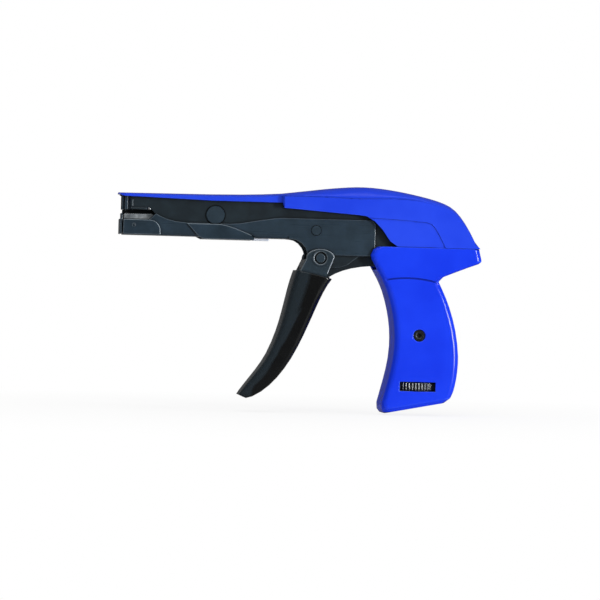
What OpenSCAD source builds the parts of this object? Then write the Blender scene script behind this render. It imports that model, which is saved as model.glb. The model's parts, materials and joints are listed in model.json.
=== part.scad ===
// Cable tie tensioning tool, a pistol-shaped hand tool of stamped steel plates and painted shells.
// Squeezing the trigger draws the tail of a cable tie back through the nose. When the tie is as
// tight as the thumbwheel in the grip allows, the tension lever trips the cutter in the nose.
//
// The nose points along -X, the tool's width lies along Y and +Z is up. The origin is where the
// tie's path, in the middle of the width, meets the front face of the nose.

/* [Layers across the width] */
// Thickness of the pull bar, which runs in the middle
bar_t = 2.5; // [2:0.1:3]
// Thickness of each rocker plate
rocker_t = 1.4; // [1.2:0.1:1.6]
// Thickness of each plate of the push arm and of the cut-off lever
arm_t = 1.4; // [1.2:0.1:1.6]
// Thickness of each plate of the tension lever
trip_t = 1.4; // [1.2:0.1:1.6]
// Thickness of the inner frame plates
inner_t = 1.4; // [1.2:0.1:1.6]
// Thickness of the sheet that the outer frame is folded from
outer_t = 1.5; // [1.2:0.1:1.8]
// Thickness of the trigger's ears
ear_t = 1.7; // [1.4:0.1:2]
// Thickness of the nose brackets and the barrel clip
clip_t = 1.05; // [0.8:0.05:1.3]
// Gap between plates that slide past each other
slide_gap = 0.15; // [0.1:0.01:0.2]
// Radial clearance of a pin in the bore that turns on it
run_gap = 0.05; // [0.03:0.01:0.08]

/* [Top cover] */
// Length of the narrow strip over the barrel, behind the nose's front
strip_l = 80.5; // [76:0.5:84]
// Overhang of the strip in front of the nose
tip_over = 0.8; // [0.5:0.1:1.5]
// Height of the strip's top above the tie's path
strip_top = 9.4; // [9.2:0.1:10]
// Height of the strip's lower edge above the tie's path
strip_low = 6.2; // [5.9:0.1:6.6]
// Length of the wide rear body of the cover
body_l = 99.5; // [97:0.5:102]
// Height of the body's highest point above the tie's path
cover_rise = 15.4; // [14.5:0.1:17]
// Height of the body's lower front corner above the tie's path
cover_low = 3.6; // [3:0.1:4.5]
// Thickness of the cover's wall
cover_wall = 1.6; // [1.2:0.1:1.9]
// Depth of the stepped panel on each side of the cover
panel_depth = 0.4; // [0.2:0.1:0.6]

/* [Grip] */
// Width of the grip and of the cover's body
grip_w = 24.4; // [24:0.1:26]
// Depth of the seam between cover and grip below the tie's path
seam_drop = 14.2; // [13.5:0.1:15]
// Distance from the nose's front to the front of the grip
grip_x = 124.9; // [124:0.1:126]
// Depth of the grip from its front to the tip of its rear beak
grip_d = 56.3; // [55:0.1:58]
// Height of the grip below the seam
grip_h = 82.5; // [80:0.5:86]
// Thickness of the grip's walls
grip_wall = 2; // [1.6:0.1:2.4]
// Radius of the grip's long edges
grip_round = 3.2; // [2.6:0.1:4]
// Width of the groove that curves across the grip
groove_w = 0.8; // [0.5:0.1:1.2]
// Depth of that groove
groove_depth = 0.5; // [0.3:0.1:0.8]

/* [Frame] */
// Height of the frame plates above the tie's path
frame_top = 8.3; // [8.1:0.1:8.5]
// Depth of the frame's floor below the tie's path
frame_drop = 11.7; // [11.5:0.1:12]
// Length of the outer frame from the nose's front
frame_l = 127.2; // [126.5:0.1:128]
// Depth of the outer frame's lower edge between trigger and grip
web_drop = 19.2; // [18.8:0.1:19.4]
// Gap in which the blade runs, between the nose plate's anvil and the pawl
blade_gap = 0.7; // [0.6:0.05:0.8]
// Thickness of the nose plate
nose_t = 0.9; // [0.8:0.05:1]
// Height of the slot that the tie's tail goes in by
slot_h = 1.9; // [1.8:0.1:2]
// Length of the nose brackets
bracket_l = 18.4; // [17:0.1:20]

/* [Pivots] */
// Distance from the nose's front to the trigger's pivot
pivot_x = 99.8; // [99.4:0.1:100.2]
// Depth of the trigger's pivot below the tie's path
pivot_drop = 20.8; // [20.6:0.1:21]
// Diameter of the trigger's pivot pin
pivot_d = 6; // [5.5:0.1:6.4]
// Distance from the nose's front to the rivet that the cut-off lever turns on
rivet_x = 47.1; // [46.6:0.1:47.6]
// Diameter of that rivet's heads
rivet_head_d = 9.2; // [8.5:0.1:9.4]
// Diameter of that rivet's shank
rivet_d = 5; // [4.6:0.1:5.1]
// Diameter of the link pins
pin_d = 4; // [3.6:0.1:4.1]
// Distance from the nose's front to the rocker's pin
rocker_x = 147; // [146.8:0.1:147.2]
// Depth of the rocker's pin below the tie's path
rocker_drop = 32; // [31.8:0.1:32.2]
// Length of the rocker from its pin to the draw pin
rocker_l = 33.8; // [33.5:0.1:34]
// Distance from the rocker's pin to the push arm's pin
rocker_arm = 12; // [11.8:0.1:12.2]

/* [Motion] */
// Travel of the trigger
trigger_turn = 36; // [30:1:36]
// Swing of the rocker over that travel
rocker_turn = 36.4; // [36:0.1:36.8]
// Travel of the blade
blade_travel = 3.7; // [3.4:0.1:3.7]
// Travel of the tension nut
nut_travel = 3; // [2:0.5:3.5]

/* [Tension adjuster] */
// Diameter of the thumbwheel
wheel_d = 25; // [24:0.1:25.4]
// Thickness of the thumbwheel
wheel_t = 3.9; // [3.5:0.1:4]
// Number of ribs round the thumbwheel
wheel_ribs = 48; // [36:4:60]
// Height of the grip's windows for the thumbwheel
window_h = 4.6; // [4.5:0.1:5]
// Length of the grip's windows
window_l = 18; // [17.5:0.1:19]
// Diameter of the adjuster's thread
stud_d = 5; // [4.5:0.1:5.5]
// Outer diameter of the tension spring
tension_spring_d = 11; // [10:0.1:11.4]

/* [Small parts] */
// Diameter of the grip screw's head
screw_head_d = 5.4; // [5:0.1:5.8]
// Diameter of the grip screw's shank
screw_d = 3; // [2.6:0.1:3.2]
// Outer diameter of the return spring
return_spring_d = 4.6; // [4:0.1:4.8]
// Wire of the return spring
return_wire = 0.6; // [0.5:0.05:0.7]
// Pitch of the teeth on the gripping pawl
tooth_pitch = 1; // [0.8:0.1:1.2]

/* [Hidden] */

$fn = 48;
over = 1; // overrun of cuts
seat = 0.3; // room round a piece that isn't a fit

blue = "#1030e0";
steel_black = "#26323a";
gloss_black = "#101417";
bare_steel = "#b4b8bc";
dark_steel = "#44494d";

// Half widths, from the middle outwards
bar_y = bar_t / 2;
rocker_y = bar_y + slide_gap;
arm_y = rocker_y + rocker_t + slide_gap;
trip_y = arm_y + arm_t + slide_gap;
inner_y = trip_y + trip_t + slide_gap;
outer_y = inner_y + inner_t;
clip_y = outer_y + outer_t;
ear_y = clip_y + slide_gap;
ear_out = ear_y + ear_t;
grip_y = grip_w / 2;
cavity_y = grip_y - grip_wall;

// Heights of the tie's slot and of what guides it
slot_top = 0.8;
slot_floor = slot_top - slot_h;
guide_t = 1;
sill = 4.3; // depth of the nose window's lower edge
floor_z = outer_t - frame_drop;

// Points of a smooth curve from p to q, steered by a and b
function curve(p, a, b, q, n) = [
    for (i = [0:n]) let (t = i / n, s = 1 - t)
        s * s * s * p + 3 * s * s * t * a + 3 * s * t * t * b + t * t * t * q
];

// Points of an arc round c, from angle a to angle b
function arc(c, r, a, b, n) = [
    for (i = [0:n]) let (t = a + (b - a) * i / n) c + r * [cos(t), sin(t)]
];

// Scales a table of shares to a length and a height
function sized(shares, size, at = [0, 0]) = [
    for (p = shares) [at.x + p.x * size.x, at.y + p.y * size.y]
];

// A smooth line through the points of a table, read at x
function span_of(x, t, i = 0) = i >= len(t) - 2 || x < t[i + 1].x ? i : span_of(x, t, i + 1);
function chord(t, i) = (t[i + 1].y - t[i].y) / (t[i + 1].x - t[i].x);
function slope_at(t, i) = i == 0 ? chord(t, 0) : i == len(t) - 1 ? chord(t, i - 1)
    : (t[i + 1].y - t[i - 1].y) / (t[i + 1].x - t[i - 1].x);
function smooth(x, t) = let (
        i = span_of(x, t), w = t[i + 1].x - t[i].x, u = (x - t[i].x) / w, v = 1 - u
    ) (1 + 2 * u) * v * v * t[i].y + u * v * v * w * slope_at(t, i)
      + u * u * (3 - 2 * u) * t[i + 1].y - u * u * v * w * slope_at(t, i + 1);

// Turns a point about c as the tool's linkage does, forwards to rearwards for points above c
function swung(p, c, a) = let (d = p - c)
    c + [d.x * cos(a) + d.y * sin(a), d.y * cos(a) - d.x * sin(a)];

// Moves each point of a line sideways by d, to the right of its direction
function beside(line, d) = [
    for (i = [0:len(line) - 1]) let (
        a = line[max(i - 1, 0)], b = line[min(i + 1, len(line) - 1)], t = (b - a) / norm(b - a)
    ) line[i] + d * [t.y, -t.x]
];

// Solid through a row of closed rings of as many points each
module loft(rings) {
    n = len(rings[0]);
    last = len(rings) - 1;
    polyhedron(
        points = [for (ring = rings, p = ring) p],
        faces = concat(
            [[for (i = [0:n - 1]) i]],
            [for (r = [0:last - 1], i = [0:n - 1], k = [0, 1]) let (j = (i + 1) % n)
                k == 0 ? [r * n + i, r * n + n + i, r * n + n + j]
                    : [r * n + i, r * n + n + j, r * n + j]],
            [[for (i = [n - 1:-1:0]) last * n + i]]
        )
    );
}

// A tube swept along a helix about the X axis, from x = 0 to x = l
module coil(d, wire, turns, l, steps = 10, sides = 6) {
    r = (d - wire) / 2;
    lead = l - wire;
    n = turns * steps;
    lean = atan2(lead / turns, 2 * PI * r);
    loft([for (i = [0:n]) let (a = 360 * i / steps, x = wire / 2 + lead * i / n)
        [for (k = [sides - 1:-1:0]) let (
            b = 360 * k / sides, u = wire / 2 * cos(b), v = wire / 2 * sin(b)
        ) [
            x + v * cos(lean),
            (r + u) * cos(a) + v * sin(lean) * sin(a),
            (r + u) * sin(a) - v * sin(lean) * cos(a)
        ]]
    ]);
}

// Lays a flat outline, drawn in X and Z, as a plate from y to y + t
module plate(y, t) {
    translate([0, y + t, 0]) rotate([90, 0, 0]) linear_extrude(t) children();
}

// The same plate on both sides of the middle
module plate_pair(y, t) {
    for (m = [0, 1]) mirror([0, m, 0]) plate(y, t) children();
}

// A flat link between two round ends
module link(p, q, r, s) {
    along = (q - p) / norm(q - p);
    side = [-along.y, along.x];
    translate(p) circle(r = r);
    translate(q) circle(r = s);
    polygon([p + r * side, q + s * side, q - s * side, p - r * side]);
}

// A round bar across the tool, centred on its middle
module cross_pin(p, d, l) {
    translate([p.x, l / 2, p.y]) rotate([90, 0, 0]) cylinder(d = d, h = l);
}

// A rivet head on both sides, seated at half width y
module rivet_heads(p, d, y, h) {
    edge = h / 4;
    for (m = [0, 1]) mirror([0, m, 0]) translate([p.x, y, p.y]) rotate([-90, 0, 0]) {
        cylinder(d = d, h = h - edge);
        translate([0, 0, h - edge]) cylinder(d1 = d, d2 = d - 2 * edge, h = edge);
    }
}

// Places of the pins, in X and Z
pivot = [pivot_x, -pivot_drop];
cutter_pivot = [rivet_x, -0.9];
small_rivet = [97.5, -7.1];
rocker_pivot = [rocker_x, -rocker_drop];
lever_pivot = rocker_pivot + [-3, -11];
arm_at = pivot + [-1.3, -11.7];
link_at = rocker_pivot + rocker_arm * [-sin(rocker_turn / 2), cos(rocker_turn / 2)];
draw_at = rocker_pivot + rocker_l * [-sin(rocker_turn / 2), cos(rocker_turn / 2)];
stroke = 2 * rocker_l * sin(rocker_turn / 2);
screw_at = [150.2, -58.1];
wheel_x = 150;
wheel_z = -83.6;

// Top cover
step_slope = 0.6; // length over which the cover widens
tip_share = 0.72; // width of the strip at its tip
strip_y = outer_y + 1.8;
taper_l = 45;
tip_lift = 1.2;
tip_fall = 0.25; // how much lower the strip's top is at its tip
chin = 1; // thinning of the strip at its very tip
chin_l = 2.2;
brow = 2.7; // height of the cover's rise above its shoulder, at the step
cover_h = cover_rise + seam_drop;
cover_top_shares = [
    [0, 0.851], [0.13, 0.909], [0.26, 0.965], [0.4, 1], [0.53, 0.974], [0.67, 0.895], [0.8, 0.786],
    [0.87, 0.668], [0.93, 0.426], [1, 0]
];
crown_shares = [[0, 0.04], [0.2, 0.13], [0.4, 0.2], [0.67, 0.1], [0.8, 0.09], [1, 0.09]];
arch_shares = [[1, 0], [0.9, 0.27], [0.76, 0.55], [0.58, 0.78], [0.34, 0.94], [0, 1]];
crease_w = 0.5; // groove along the cover's shoulder, which fades out towards the rear
crease_depth = 0.35;
crease_end_share = 0.8;
cover_table = sized(cover_top_shares, [body_l, cover_h], [strip_l, -seam_drop]);
crown_table = sized(crown_shares, [body_l, cover_h], [strip_l, 0]);
cheek_x = strip_l + 0.4 * body_l; // where the cover's lower edge starts to curve down
cheek_l = 15.6;
cheek_low = 0.9;
tip_xs = [0, 0.3, 0.8, 1.6, 3];
strip_xs = [for (t = tip_xs) t - tip_over];
body_xs = [for (t = [0.02:0.04:0.78]) strip_l + t * body_l];
tail_xs = [for (t = [0.8:0.025:0.999]) strip_l + t * body_l];
cover_xs = concat(strip_xs, [taper_l, 0.75 * strip_l, 0.88 * strip_l, strip_l],
    [strip_l + step_slope], body_xs, tail_xs, [strip_l + body_l - slide_gap]);

function blend(x, from, to, at, l) = from + (to - from) * max(0, min(1, (x - at) / l));
function cover_half(x) = x < taper_l ? blend(x, strip_y * tip_share, strip_y, -tip_over, 3)
    : blend(x, strip_y, grip_y, strip_l, step_slope);
function cover_top(x) = x < strip_l
    ? strip_top + (cover_table[0].y - strip_top) * pow(max(x, 0) / strip_l, 4)
        - tip_fall * pow(max(0, 1 - max(x, 0) / taper_l), 1.5)
    : smooth(x, cover_table);
function cover_edge(x) = x <= strip_l
    ? strip_low + tip_lift * max(0, 1 - max(x, 0) / taper_l)
        + chin * max(0, 1 - (x + tip_over) / chin_l)
    : x < cheek_x ? blend(x, cover_low, cheek_low, strip_l, cheek_x - strip_l)
    : x < cheek_x + cheek_l
        ? cheek_low - (cheek_low + seam_drop) * pow((x - cheek_x) / cheek_l, 1.85)
    : -seam_drop;
function cover_crown(x) = x < strip_l ? 0.35 * (cover_top(x) - cover_edge(x))
    : min(smooth(x, crown_table), 0.7 * (cover_top(x) - cover_edge(x)));
function flip(line) = [for (i = [len(line) - 1:-1:0]) [line[i].x, -line[i].y, line[i].z]];
function half_ring(x, half, low, top, crown) = concat(
    [[x, half, low]],
    [for (s = arch_shares) if (s.x > 0) [x, half * s.x, top - crown + crown * s.y]]
);
function cover_ring(x, half, low, top, crown) = let (
        side = half_ring(x, half, low, top, crown)
    ) concat(side, [[x, 0, top]], flip(side));
function crease_z(x) = cover_top(x) - cover_crown(x) - 0.6 * crease_w;
function crease_at(x) = grip_y
    - crease_depth * min(1, (strip_l + crease_end_share * body_l - x) / strip_l * 4);
crease_xs = concat([strip_l - over], [strip_l + step_slope], body_xs,
    [strip_l + (crease_end_share + 0.03) * body_l]);
function inner_top(x) = x <= strip_l + cover_wall ? frame_top
    : let (e = 0.5, rise = (cover_top(x + e) - cover_top(x - e)) / (2 * e))
        cover_top(x) - cover_wall * sqrt(1 + rise * rise);
function inner_half(x) = blend(x, outer_y, grip_y - cover_wall, strip_l + cover_wall, step_slope);
hollow_xs = concat([-1, strip_l + cover_wall], [strip_l + cover_wall + step_slope],
    [for (t = [0.06:0.04:0.78]) strip_l + t * body_l],
    [for (t = [0.8:0.025:0.951]) strip_l + t * body_l]);
panel_shares = [
    [0.4, 0.95], [0.59, 0.89], [0.72, 0.84], [0.75, 0.78], [0.78, 0.53], [0.83, -0.1], [0.4, -0.1]
];

// The cover's inner ribs, which stand on the frame plates
rib_t = 1.5;
rib_xs = [strip_l + 0.08 * body_l, strip_l + 0.3 * body_l, strip_l + 0.72 * body_l];

// Groove along the cover's shoulder
module cover_crease() {
    half = crease_w / 2;
    loft([for (x = crease_xs) let (z = crease_z(x)) [
        [x, grip_y + over, z - half], [x, grip_y + over, z + half], [x, grip_y, z + half],
        [x, crease_at(x), z], [x, grip_y, z - half]
    ]]);
}

module top_cover() {
    color(blue) {
        difference() {
            loft([for (x = cover_xs)
                cover_ring(x, cover_half(x), cover_edge(x), cover_top(x), cover_crown(x))]);
            loft([for (x = hollow_xs) cover_ring(x, inner_half(x), -seam_drop - over,
                inner_top(x), x <= strip_l + cover_wall ? 0.01 : cover_crown(x))]);
            plate_pair(grip_y - panel_depth, panel_depth + over)
                polygon(sized(panel_shares, [body_l, cheek_low + seam_drop], [strip_l, -seam_drop]));
            for (m = [0, 1]) mirror([0, m, 0]) cover_crease();
        }
        for (x = rib_xs, m = [0, 1]) mirror([0, m, 0])
            translate([x, outer_y, cheek_low + brow])
                cube([rib_t, grip_y - cover_wall - outer_y + cover_wall / 2,
                    inner_top(x) - cover_crown(x) - cheek_low - brow]);
    }
}

// Grip shells, whose rings run from a front point to a rear point
front_top_shares = [
    [0.066, 0], [0.023, -0.017], [0, -0.051], [0.009, -0.078], [0.03, -0.103], [0.057, -0.135],
    [0.083, -0.166], [0.108, -0.196], [0.13, -0.227]
];
rear_top_shares = [
    [0.975, 0], [0.984, -0.029], [0.995, -0.057], [1, -0.076], [0.972, -0.091], [0.881, -0.114],
    [0.766, -0.145], [0.659, -0.175], [0.618, -0.204]
];
front_mid_shares = [[0.155, -0.267], [0.215, -0.385], [0.24, -0.495], [0.233, -0.604]];
front_low_shares = [[0.233, -0.604], [0.226, -0.725], [0.172, -0.834], [0.133, -0.945]];
rear_mid_shares = [[0.646, -0.242], [0.726, -0.349], [0.798, -0.495], [0.81, -0.652]];
rear_low_shares = [[0.81, -0.652], [0.814, -0.737], [0.798, -0.81], [0.774, -0.868]];
front_end_shares = [[0.136, -0.983], [0.158, -1.007]];
rear_end_shares = [[0.75, -0.906], [0.7, -0.936]];
grip_at = [grip_x, -seam_drop];
grip_size = [grip_d, grip_h];
function bend(shares, n) = let (p = sized(shares, grip_size, grip_at)) curve(p[0], p[1], p[2], p[3], n);
function tail(line) = [for (i = [1:len(line) - 1]) line[i]];
grip_front = concat(sized(front_top_shares, grip_size, grip_at), bend(front_mid_shares, 6),
    tail(bend(front_low_shares, 5)), sized(front_end_shares, grip_size, grip_at));
grip_rear = concat(sized(rear_top_shares, grip_size, grip_at), bend(rear_mid_shares, 6),
    tail(bend(rear_low_shares, 5)), sized(rear_end_shares, grip_size, grip_at));

// Rounded ring in the plane of a front and a rear point
function oblong(f, b, half, r, n = 4) = let (u = (b - f) / norm(b - f)) [
    for (q = [0:3], i = [0:n]) let (
        a = 90 * (q + i / n),
        back = q == 0 || q == 3,
        right = q < 2,
        run = (back ? norm(b - f) - r : r) + r * cos(a),
        y = (right ? half - r : r - half) + r * sin(a)
    ) [f.x + run * u.x, y, f.y + run * u.y]
];
function grip_rings(front, rear, half, r) = [
    for (i = [len(front) - 1:-1:0]) let (end = i > len(front) - 2 ? grip_wall : 0)
        oblong(front[i], rear[i], half - end, r)
];
cavity_front = beside(grip_front, -grip_wall);
cavity_rear = beside(grip_rear, grip_wall);
function first_of(line, n) = [for (i = [0:n]) line[i]];
mouth_z = over - seam_drop;
mouth_front = concat([[cavity_front[0].x, mouth_z]], first_of(cavity_front, len(cavity_front) - 3));
mouth_rear = concat([[cavity_rear[0].x, mouth_z]], first_of(cavity_rear, len(cavity_rear) - 3));

arm_mouth_z = -25.6; // lower edge of the opening for the push arm
groove_r = 55;
groove_c = [144, -84.6];
boss_d = 10;
head_seat = 8.6; // half width at which the screw's head and nut sit
nut_af = 5.5;
nut_t = 2.4;
nut_guide_t = 3;
shelf_t = 2;
journal_d = stud_d - 1;
nut_w = tension_spring_d + 1;
nut_t_z = 4;
wheel_low = wheel_z - wheel_t / 2;
wheel_high = wheel_z + wheel_t / 2;

module grip_body() {
    difference() {
        loft(grip_rings(grip_front, grip_rear, grip_y, grip_round));
        loft([for (i = [len(mouth_front) - 1:-1:0])
            oblong(mouth_front[i], mouth_rear[i], cavity_y, grip_round - grip_wall / 2)]);
    }
}

module grip_shell(side) {
    frame_slot = clip_y + seat / 2;
    difference() {
        union() {
            intersection() {
                grip_body();
                translate([grip_x - over, side > 0 ? 0 : -grip_y - over, -seam_drop - grip_h - over])
                    cube([grip_d + 2 * over, grip_y + over, grip_h + 2 * over]);
            }
            mirror([0, side > 0 ? 0 : 1, 0]) {
                translate([screw_at.x, outer_y, screw_at.y]) rotate([-90, 0, 0])
                    cylinder(d = boss_d, h = cavity_y - outer_y + grip_wall / 2);
                // shelf that carries the thumbwheel
                translate([wheel_x - window_l / 2, seat / 2, wheel_low - shelf_t])
                    cube([window_l, cavity_y + grip_wall / 2, shelf_t]);
                // rib that keeps the tension nut from turning
                translate([wheel_x - nut_w / 2, nut_w / 2 + run_gap, wheel_high + seat])
                    cube([nut_w, cavity_y - nut_w / 2 + grip_wall / 2, nut_t_z + nut_travel]);
            }
        }
        // opening for the frame and the push arm
        translate([grip_x - over, -frame_slot, arm_mouth_z])
            cube([over + grip_wall * 3, 2 * frame_slot, -arm_mouth_z]);
        // window for the thumbwheel
        translate([wheel_x - window_l / 2, -grip_y - over, wheel_z - window_h / 2])
            cube([window_l, 2 * grip_y + 2 * over, window_h]);
        // room in which the thumbwheel turns
        translate([wheel_x, 0, wheel_low - seat]) cylinder(d = wheel_d + 2 * seat, h = wheel_t + 2 * seat);
        // journal of the adjuster stud
        translate([wheel_x, 0, wheel_low - shelf_t - over])
            cylinder(d = journal_d + 2 * run_gap, h = shelf_t + over);
        // groove across the side
        plate_pair(grip_y - groove_depth, groove_depth + over) difference() {
            translate(groove_c) circle(r = groove_r + groove_w / 2, $fn = 96);
            translate(groove_c) circle(r = groove_r - groove_w / 2, $fn = 96);
            translate([grip_x - over, -seam_drop - grip_h - over]) square([grip_d, grip_h * 0.75]);
        }
        cross_pin(screw_at, screw_d, grip_w + over);
        if (side < 0)
            translate([screw_at.x, -head_seat, screw_at.y]) rotate([90, 0, 0])
                cylinder(d = screw_head_d + 2 * seat, h = grip_y);
        else
            translate([screw_at.x, head_seat, screw_at.y]) rotate([-90, 0, 0])
                cylinder(d = nut_af / cos(30), h = grip_y, $fn = 6);
    }
}

module grip_shell_left() { color(blue) grip_shell(-1); }

module grip_shell_right() { color(blue) grip_shell(1); }

// Frame plates
guide_x = 5.1; // front edge of the plates above the tie's slot
guide_l = 8.1;
window_end = 17.6;
jaw_gap = 0.6; // gap between the nose plate and the frame behind it
jaw_x = nose_t + jaw_gap;
lobe_r = 6.6;
underside_shares = [
    [0, 0], [0.24, -0.01], [0.46, -0.07], [0.68, -0.25], [0.86, -0.52], [0.95, -0.77], [1, -1]
];
underside_at = [83.4, -frame_drop];
underside_size = [pivot_x - lobe_r + 0.4 - underside_at.x, web_drop - frame_drop];
function underside(inset) = beside(sized(underside_shares, underside_size, underside_at), inset);
inner_inset = 0.8; // how far the inner plates stay inside the outer ones, underneath

// Outline of an inner frame plate: barrel, rear body and the tang that reaches into the grip
module inner_outline() {
    notch = [window_end - 3.4, -sill];
    difference() {
        union() {
            polygon(concat(
                [[guide_x, slot_top + guide_t], [guide_x, frame_top], [152, frame_top],
                 [159, 5.5], [166, -1], [171.5, -seam_drop], [170, -19], [160, -24.5],
                 [157.5, -28.5], [157.5, -34], [161.5, -44], [163.5, -55], [159, -64.5],
                 [141.5, -64.5], [141, -52], [138.5, -41], [134.5, -29.5], [131.5, -22.5],
                 [127.5, -web_drop - 0.4], [119.2, -web_drop - 0.4], [113.5, -24], [109.4, -25.4],
                 [pivot.x, -25.4]],
                [for (i = [len(underside_shares) - 1:-1:2]) underside(-inner_inset)[i]],
                [[channel_l, floor_z], [jaw_x, floor_z], [jaw_x, -sill], notch,
                 [window_end + 0.2, slot_floor - 0.4], [window_end - 1.8, slot_top - 0.3],
                 [guide_x + guide_l, slot_top - 0.3], [guide_x + guide_l, slot_top + guide_t]]
            ));
            translate(pivot) circle(r = lobe_r);
        }
        translate(pivot) circle(d = pivot_d);
        translate(cutter_pivot) circle(d = rivet_d);
        translate(small_rivet) circle(d = frame_rivet_d);
        translate(rocker_pivot) circle(d = pin_d);
        translate(lever_pivot) circle(d = pin_d);
        translate(screw_at) circle(d = spacer_d);
        translate(guide_pin_at) circle(d = guide_pin_d);
        translate(nose_rivet_at) circle(d = nose_rivet_d);
    }
}

lip_w = 0.9;
lip_out = 0.6;
frame_rivet_d = 3.4;
spacer_d = 6;
guide_pin_d = 1.3;
guide_pin_at = [guide_x + guide_l + guide_pin_d / 2 + 2 * slide_gap, slot_top + guide_t / 2];
nose_rivet_d = 1.3;
nose_rivet_at = [6.8, -6.8];
recess = 0.4; // depth of the round seats under the rivet heads
recess_gap = 0.5;

// Wall that closes the far side of the tie's slot
module slot_wall() {
    difference() {
        polygon([
            [jaw_x, -sill - over], [jaw_x, slot_top], [guide_x, slot_top], [guide_x, frame_top - over],
            [window_end + over, frame_top - over], [window_end + over, -sill - over]
        ]);
        translate(guide_pin_at) circle(d = guide_pin_d);
    }
}

module inner_frame(closed) {
    color(steel_black) {
        difference() {
            plate(inner_y, inner_t) {
                inner_outline();
                if (closed) slot_wall();
            }
            translate([cutter_pivot.x, outer_y - recess, cutter_pivot.y]) rotate([-90, 0, 0])
                cylinder(d = rivet_head_d + 2 * recess_gap, h = recess + over);
        }
        // folded lip at the front edge, above the tie's slot
        translate([guide_x, outer_y, slot_top + guide_t])
            cube([lip_w, lip_out, strip_low - slot_top - guide_t]);
    }
}

module inner_frame_left() { mirror([0, 1, 0]) inner_frame(false); }

module inner_frame_right() { inner_frame(true); }

// Outer frame, one folded channel
front_line_shares = [[0, 0.72], [0.24, 0.4], [0.56, 0.14], [1, 0]];
rear_line_shares = [[0, 0], [0.18, 0.1], [0.36, 0.33], [0.6, 0.64], [0.85, 0.93], [1, 1]];
rear_corner = 2.6;
shoulder = 1.35; // depth of the outer frame's upper edge under the cover
dip = 5.1; // depth of its upper edge under the large rivet
channel_l = 84;
bend_r = 2.2;

module outer_outline() {
    difference() {
        union() {
            polygon(concat(
                [[jaw_x, -frame_drop], [jaw_x, -sill], [window_end - 3.6, -sill]],
                [[window_end, -1]],
                sized(front_line_shares, [32.9 - window_end - 2, dip - 1], [window_end + 2, -dip]),
                sized(rear_line_shares, [27, dip - shoulder], [54.5, -dip]),
                arc([frame_l - rear_corner, -shoulder - rear_corner], rear_corner, 90, 0, 6),
                arc([frame_l - rear_corner, rear_corner - web_drop], rear_corner, 0, -90, 6),
                [[pivot.x, -web_drop - 0.01]],
                [for (i = [len(underside_shares) - 1:-1:0]) underside(0)[i]]
            ));
            translate(pivot) circle(r = lobe_r);
        }
        translate(pivot) circle(d = pivot_d);
        translate(cutter_pivot) circle(d = rivet_head_d + 2 * recess_gap);
        translate(small_rivet) circle(d = frame_rivet_d);
        translate(nose_rivet_at) circle(d = nose_rivet_d);
    }
}

module outer_frame() {
    color(steel_black) difference() {
        union() {
            plate_pair(outer_y, outer_t) outer_outline();
            translate([jaw_x, -clip_y, -frame_drop])
                cube([channel_l - jaw_x, 2 * clip_y, outer_t]);
        }
        // outer radius of the folds along the floor
        for (m = [0, 1]) mirror([0, m, 0])
            translate([jaw_x - over, clip_y - bend_r, bend_r - frame_drop]) rotate([90, 0, 90])
                linear_extrude(channel_l - jaw_x + over) difference() {
                    translate([0, -bend_r - over]) square(bend_r + over);
                    circle(r = bend_r);
                }
        translate([anchor_x, -anchor_w / 2, -frame_drop - over])
            cube([anchor_t, anchor_w, outer_t + 2 * over]);
        for (m = [0, 1]) mirror([0, m, 0])
            translate([small_rivet.x, clip_y - recess, small_rivet.y]) rotate([-90, 0, 0])
                cylinder(d = small_head_d + recess_gap, h = recess + over);
    }
}

// Nose
nose_front = 0;
nose_top = -3.8;
nose_lift = 0.3; // how far the nose plate ends above the frame's floor
blade_y = 5; // half width of the blade
anvil_t = 0.3;
anvil_y = blade_y + 0.6;
anvil_rear = nose_front + nose_t + anvil_t;
nose_floor_t = 0.8;
nose_floor_l = 18;

module nose_plate() {
    color(steel_black) {
        translate([nose_front, -clip_y, nose_lift - frame_drop])
            cube([nose_t, 2 * clip_y, nose_top + frame_drop - nose_lift]);
        // anvil that the blade cuts against
        translate([anvil_rear - anvil_t - seat, -anvil_y, nose_top - 2])
            cube([anvil_t + seat, 2 * anvil_y, slot_floor - nose_top + 2]);
        translate([nose_front, -inner_y, floor_z])
            cube([nose_floor_l - nose_front, 2 * inner_y, nose_floor_t]);
    }
}

bracket_r = 5.4;

module nose_bracket() {
    color(steel_black) plate(clip_y, clip_t) difference() {
        polygon(concat(
            [[jaw_x, nose_lift - frame_drop], [jaw_x, nose_top - 0.4]],
            arc([jaw_x + bracket_l - bracket_r, nose_top - 0.4 - bracket_r], bracket_r, 90, 0, 8),
            [[jaw_x + bracket_l, nose_lift - frame_drop]]
        ));
        translate(nose_rivet_at) circle(d = nose_rivet_d);
    }
}

module nose_bracket_left() { mirror([0, 1, 0]) nose_bracket(); }

module nose_bracket_right() { nose_bracket(); }

module nose_rivets() {
    head_h = 0.25;
    for (m = [0, 1]) mirror([0, m, 0]) color(steel_black) {
        translate([nose_rivet_at.x, inner_y, nose_rivet_at.y]) rotate([-90, 0, 0])
            cylinder(d = nose_rivet_d, h = clip_y + clip_t - inner_y);
        translate([nose_rivet_at.x, clip_y + clip_t, nose_rivet_at.y]) rotate([-90, 0, 0])
            cylinder(d1 = nose_rivet_d * 1.3, d2 = nose_rivet_d * 0.7, h = head_h);
    }
}

blade_t = 0.5;
blade_x = anvil_rear + (blade_gap - blade_t) / 2;
blade_low = 2.6;
blade_high = 8.1;
guide_front = nose_front + nose_t;
guide_low = slot_top;
guide_out = outer_y - 0.4;
guide_in = arm_y + arm_t + run_gap;
guide_end = 8;
groove_xs = [blade_x, 3.6]; // fronts of the grooves down the guide's side
groove_l = 0.9;

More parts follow.
